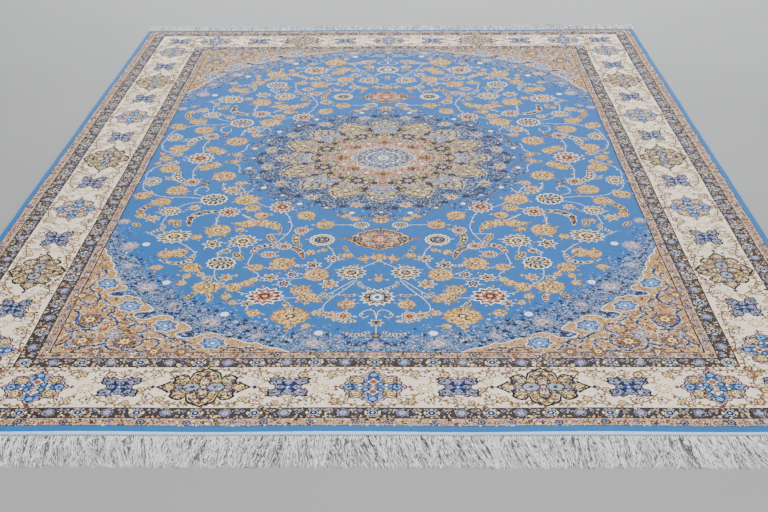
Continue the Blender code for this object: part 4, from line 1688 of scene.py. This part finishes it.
class Nodes:
    """A small helper that adds nodes and wires them."""

    def __init__(self, name):
        self.material = bpy.data.materials.new(name)
        self.material.use_nodes = True
        self.tree = self.material.node_tree
        self.shader = self.tree.nodes["Principled BSDF"]

    def add(self, kind, inputs=None, **settings):
        node = self.tree.nodes.new("ShaderNode" + kind)
        for key, value in settings.items():
            setattr(node, key, value)
        for key, value in (inputs or {}).items():
            self.set(node.inputs[key], value)
        return node

    def set(self, socket, value):
        if isinstance(value, bpy.types.NodeSocket):
            self.tree.links.new(value, socket)
        else:
            socket.default_value = value

    def place(self):
        return self.add("TexCoord").outputs["Object"]

    def mirrored(self, place):
        return self.add("VectorMath", {0: place}, operation="ABSOLUTE").outputs[0]

    def stretched(self, place, scale):
        return self.add("Mapping", {"Vector": place, "Scale": scale}).outputs[0]

    def noise(self, place, scale, detail, roughness=0.5):
        inputs = {"Vector": place, "Scale": scale, "Detail": detail, "Roughness": roughness}
        return self.add("TexNoise", inputs).outputs["Fac"]

    def cells(self, place, scale, randomness=1.0):
        inputs = {"Vector": place, "Scale": scale, "Randomness": randomness}
        return self.add("TexVoronoi", inputs, voronoi_dimensions="2D")

    def attribute(self, name):
        return self.add("Attribute", attribute_name=name, attribute_type="GEOMETRY")

    def math(self, operation, a, b=0.0, c=0.0):
        return self.add("Math", {0: a, 1: b, 2: c}, operation=operation).outputs[0]

    def scaled(self, value, factor, offset):
        return self.math("MULTIPLY_ADD", value, factor, offset)

    def mix(self, factor, a, b, blend="MIX"):
        node = self.add("Mix", data_type="RGBA", blend_type=blend)
        self.set(node.inputs["Factor"], factor)
        self.set(node.inputs[6], a)
        self.set(node.inputs[7], b)
        return node.outputs[2]

    def lit(self, base, light):
        """The colour times a brightness."""
        brightness = self.add("CombineColor", {0: light, 1: light, 2: light}).outputs[0]
        return self.mix(1.0, base, brightness, "MULTIPLY")

    def ramp(self, factor, stops, interpolation="LINEAR"):
        node = self.add("ValToRGB", {"Fac": factor})
        ramp = node.color_ramp
        ramp.interpolation = interpolation
        while len(ramp.elements) < len(stops):
            ramp.elements.new(0.5)
        for element, (place, tint) in zip(ramp.elements, stops):
            element.position = place
            element.color = tint
        return node.outputs["Color"]

    def bump(self, strength, distance, height):
        return self.add("Bump", {"Strength": strength, "Distance": distance, "Height": height}).outputs[0]

    def finish(self, **inputs):
        for key, value in inputs.items():
            self.set(self.shader.inputs[key.replace("_", " ")], value)
        return self.material


def colour(r, g, b):
    return (*srgb_to_linear((r, g, b)), 1.0)


def grey(value):
    return (value, value, value, 1.0)


# Specks: place on the ramp and colour, in cool and in warm grounds
COOL_SPECKS = (
    (0.00, colour(12, 18, 44)),
    (0.28, colour(70, 92, 132)),
    (0.48, colour(122, 142, 176)),
    (0.74, colour(154, 172, 202)),
    (0.89, colour(222, 228, 238)),
    (0.95, colour(176, 144, 122)),
)
WARM_SPECKS = (
    (0.00, colour(48, 28, 20)),
    (0.26, colour(128, 92, 50)),
    (0.46, colour(234, 204, 134)),
    (0.58, colour(248, 232, 200)),
    (0.78, colour(70, 74, 94)),
    (0.94, colour(166, 100, 76)),
)

# Layers of specks: cells per metre, share of the yarn's own density, reach within a cell
SPECK_LAYERS = ((76.0, 0.36, 0.42), (125.0, 0.55, 0.44), (250.0, 0.90, 0.46))

# Bands seen on the back, from the field outwards: half width and length of what lies inside, colour
BACK_BANDS = (
    (0.877, 1.388, colour(196, 176, 152)),
    (0.907, 1.417, colour(110, 112, 122)),
    (0.957, 1.463, colour(212, 204, 192)),
    (1.143, 1.648, colour(110, 112, 122)),
    (1.193, 1.695, colour(200, 178, 158)),
    (1.225, 1.726, colour(116, 146, 180)),
)

# White threads from painted shade to bright: place on the ramp and colour
THREAD_SHADE_RAMP = (
    (0.08, colour(16, 18, 24)),
    (0.30, colour(100, 106, 116)),
    (0.43, colour(246, 248, 250)),
    (0.66, colour(255, 255, 255)),
)


def specked(n, base, density, place):
    """The base with specks of other yarns, warm ones in warm grounds and cool ones in cool grounds."""
    channels = n.add("SeparateColor", {"Color": base})
    warm = n.math("GREATER_THAN", channels.outputs[0], channels.outputs[2])
    for scale, share, size in SPECK_LAYERS:
        cells = n.cells(place, scale, 0.9)
        parts = n.add("SeparateColor", {"Color": cells.outputs["Color"]})
        wanted = n.math("LESS_THAN", parts.outputs[1], n.math("MULTIPLY", density, share))
        near = n.math("LESS_THAN", cells.outputs["Distance"], size)
        cool_speck = n.ramp(parts.outputs[0], COOL_SPECKS, "CONSTANT")
        warm_speck = n.ramp(parts.outputs[0], WARM_SPECKS, "CONSTANT")
        base = n.mix(n.math("MULTIPLY", wanted, near), base, n.mix(warm, cool_speck, warm_speck))
    return base


def pile_material():
    """Short, lustrous pile: its yarns come from the chart, with fine specks, grain and slow fading."""
    n = Nodes("pile_yarn")
    yarn = n.attribute("yarn")
    place = n.place()
    base = specked(n, yarn.outputs["Color"], yarn.outputs["Alpha"], n.mirrored(place))

    # Slow fading of the dye, and the knots' own unevenness
    fading = n.noise(place, 3.0, 3.0, 0.6)
    knots = n.noise(place, 420.0, 2.0, 0.7)
    patches = n.noise(place, 60.0, 4.0, 0.7)
    light = n.scaled(fading, 0.16, 0.92)
    light = n.math("MULTIPLY", light, n.scaled(knots, 0.60, 0.70))
    light = n.math("MULTIPLY", light, n.scaled(patches, 0.40, 0.80))

    # Rows of knots and the pile's brushed surface
    tufts = n.cells(n.stretched(place, (1.0, 0.55, 1.0)), 620.0)
    relief = n.math("ADD", n.math("MULTIPLY", tufts.outputs["Distance"], -0.7), knots)
    return n.finish(Base_Color=n.lit(base, light), Roughness=n.scaled(patches, 0.20, 0.42),
                    Normal=n.bump(0.35, 0.0012, relief), Specular_IOR_Level=0.07)


def yarn_material(name, light, dark, scale, sheen, roughness, stretch=(1.0, 1.0, 1.0), relief=0.3):
    """Plain yarn: strands of two near tones with a fibre grain."""
    n = Nodes(name)
    place = n.place()
    strands = n.noise(n.stretched(place, stretch), scale, 3.0, 0.6)
    slow = n.noise(place, 9.0, 2.0)
    tone = n.math("ADD", n.math("MULTIPLY", strands, 0.7), n.math("MULTIPLY", slow, 0.3))
    return n.finish(Base_Color=n.ramp(tone, ((0.30, dark), (0.68, light))),
                    Roughness=n.scaled(strands, 0.2, roughness - 0.1),
                    Normal=n.bump(relief, 0.0006, strands), Sheen_Weight=sheen)


def thread_material():
    """Glossy white threads, from painted shade to bright by their own tone, with painted shadow slits between
    them.
    """
    n = Nodes("fringe_yarn")
    thread = n.attribute("thread").outputs["Vector"]
    tone = n.add("SeparateXYZ", {"Vector": thread}).outputs[0]
    # Noise along each thread darkens short stretches: painted shadow between the threads
    shadow_slits = n.noise(n.stretched(thread, (0.0, 430.0, 6.5)), 1.0, 2.0, 0.7)
    mixed = n.math("ADD", tone, n.scaled(shadow_slits, 4.4, -2.2))
    return n.finish(Base_Color=n.ramp(mixed, THREAD_SHADE_RAMP), Roughness=0.5, Sheen_Weight=0.30,
                    Specular_IOR_Level=0.40)


def back_material():
    """The woven back, where the bands of the pattern show through in paler tones."""
    n = Nodes("woven_back")
    place = n.place()
    parts = n.add("SeparateXYZ", {"Vector": n.mirrored(place)})
    base = colour(120, 146, 176)
    for half_width, half_length, tone in BACK_BANDS:
        beyond_u = n.math("GREATER_THAN", parts.outputs[0], half_width)
        beyond_v = n.math("GREATER_THAN", parts.outputs[1], half_length)
        base = n.mix(n.math("MAXIMUM", beyond_u, beyond_v), base, tone)
    weave = n.cells(place, 500.0, 0.25).outputs["Distance"]
    light = n.scaled(n.noise(place, 55.0, 5.0, 0.8), 0.5, 0.72)
    light = n.math("MULTIPLY", light, n.scaled(weave, -0.3, 1.1))
    return n.finish(Base_Color=n.lit(base, light), Roughness=0.85, Normal=n.bump(0.5, 0.0008, weave))


# ------------------------------------------------------------------------------------------------
# Camera, light and floor

CAMERA_PLACE = (0.080, -3.972, 1.612)
CAMERA_PITCH = 26.93
CAMERA_YAW = 1.21
CAMERA_ROLL = -0.63
CAMERA_LENS = 53.1
SENSOR_WIDTH = 36.0

FLOOR_HALF_SIZE = 14.0
FLOOR_Z = -0.0002
SKY_TINT = (0.94, 0.97, 1.0, 1.0)
SKY_STRENGTH = 0.14

# Area lights: name, place, target, width and height, power, tint
LIGHTS = (
    ("overhead", (0.2, -1.4, 4.6), (0.1, -0.6, 0), (5.0, 4.0), 150, (1.0, 0.99, 0.97)),
    ("skylight", (0.4, 4.6, 4.4), (0, 1.6, 0), (7.0, 2.0), 530, (0.96, 0.98, 1.0)),
    ("window", (0.3, 4.4, 1.4), (0, 1.8, 0), (7.0, 1.0), 85, (0.92, 0.96, 1.0)),
    ("fill", (0.2, -5.8, 1.3), (0.1, -1.8, 0), (5.0, 1.0), 300, (1.0, 1.0, 1.0)),
)


def make_camera():
    data = bpy.data.cameras.new("camera")
    data.lens = CAMERA_LENS
    data.sensor_width = SENSOR_WIDTH
    camera = bpy.data.objects.new("camera", data)
    SCENE.collection.objects.link(camera)
    turn = (Matrix.Rotation(math.radians(CAMERA_YAW), 4, "Z")
            @ Matrix.Rotation(math.radians(90 - CAMERA_PITCH), 4, "X")
            @ Matrix.Rotation(math.radians(CAMERA_ROLL), 4, "Z"))
    camera.matrix_world = Matrix.Translation(CAMERA_PLACE) @ turn
    SCENE.camera = camera


def area_light(name, place, target, size, power, tint):
    data = bpy.data.lights.new(name, "AREA")
    data.shape = "RECTANGLE"
    data.size, data.size_y = size
    data.energy = power
    data.color = tint
    lamp = bpy.data.objects.new(name, data)
    SCENE.collection.objects.link(lamp)
    lamp.location = place
    lamp.visible_camera = False
    lamp.rotation_euler = (Vector(target) - Vector(place)).to_track_quat("-Z", "Y").to_euler()


def make_light():
    world = bpy.data.worlds.new("studio")
    SCENE.world = world
    world.use_nodes = True
    background = world.node_tree.nodes["Background"]
    background.inputs["Color"].default_value = SKY_TINT
    background.inputs["Strength"].default_value = SKY_STRENGTH
    for light in LIGHTS:
        area_light(*light)


def make_floor():
    n = Nodes("pale_floor")
    tint = n.ramp(n.noise(n.place(), 1.2, 4.0), ((0.3, grey(0.32)), (0.7, grey(0.35))))
    material = n.finish(Base_Color=tint, Roughness=0.7)
    size = FLOOR_HALF_SIZE
    corners = [(-size, -size, 0), (size, -size, 0), (size, size, 0), (-size, size, 0)]
    floor = make_piece("floor", corners, [(0, 1, 2, 3)], material, False)
    floor.location.z = FLOOR_Z


# ------------------------------------------------------------------------------------------------
# The whole

def make_ends():
    """The woven strip, the stitches and the fringe at both ends."""
    white = thread_material()
    woven = yarn_material("strip_weave", colour(255, 255, 255), colour(196, 216, 240), 700.0, 0.1, 0.7,
                          (1.0, 0.3, 1.0), 0.6)
    dark = yarn_material("stitch_yarn", colour(34, 48, 80), colour(12, 18, 36), 800.0, 0.0, 0.8)
    pieces = []
    for end, word in ((FRONT, "front"), (BACK, "back")):
        node = "fringe_" + word
        pieces.append(declare(end_strip(end, "strip_" + word, woven), node))
        pieces.append(declare(stitches(end, "stitches_" + word, dark), node))
        pieces.append(declare(fringe(end, "threads_" + word, white), node))
    return pieces


def main():
    make_camera()
    make_light()
    make_floor()

    quarter = quarter_mesh(draw_chart())
    pile = pile_material()
    strips = [
        declare(pile_strip(name, side, low, high, quarter, pile), "pile_cloth")
        for name, side, low, high in STRIPS
    ]
    ground = declare(foundation(back_material()), "pile_cloth")
    cord = yarn_material("overcast_yarn", colour(132, 172, 210), colour(52, 104, 166), 900.0, 0.2, 0.6)
    cords = [
        declare(binding(LEFT, "cord_left", cord), "side_binding_left"),
        declare(binding(RIGHT, "cord_right", cord), "side_binding_right"),
    ]
    ends = make_ends()


main()
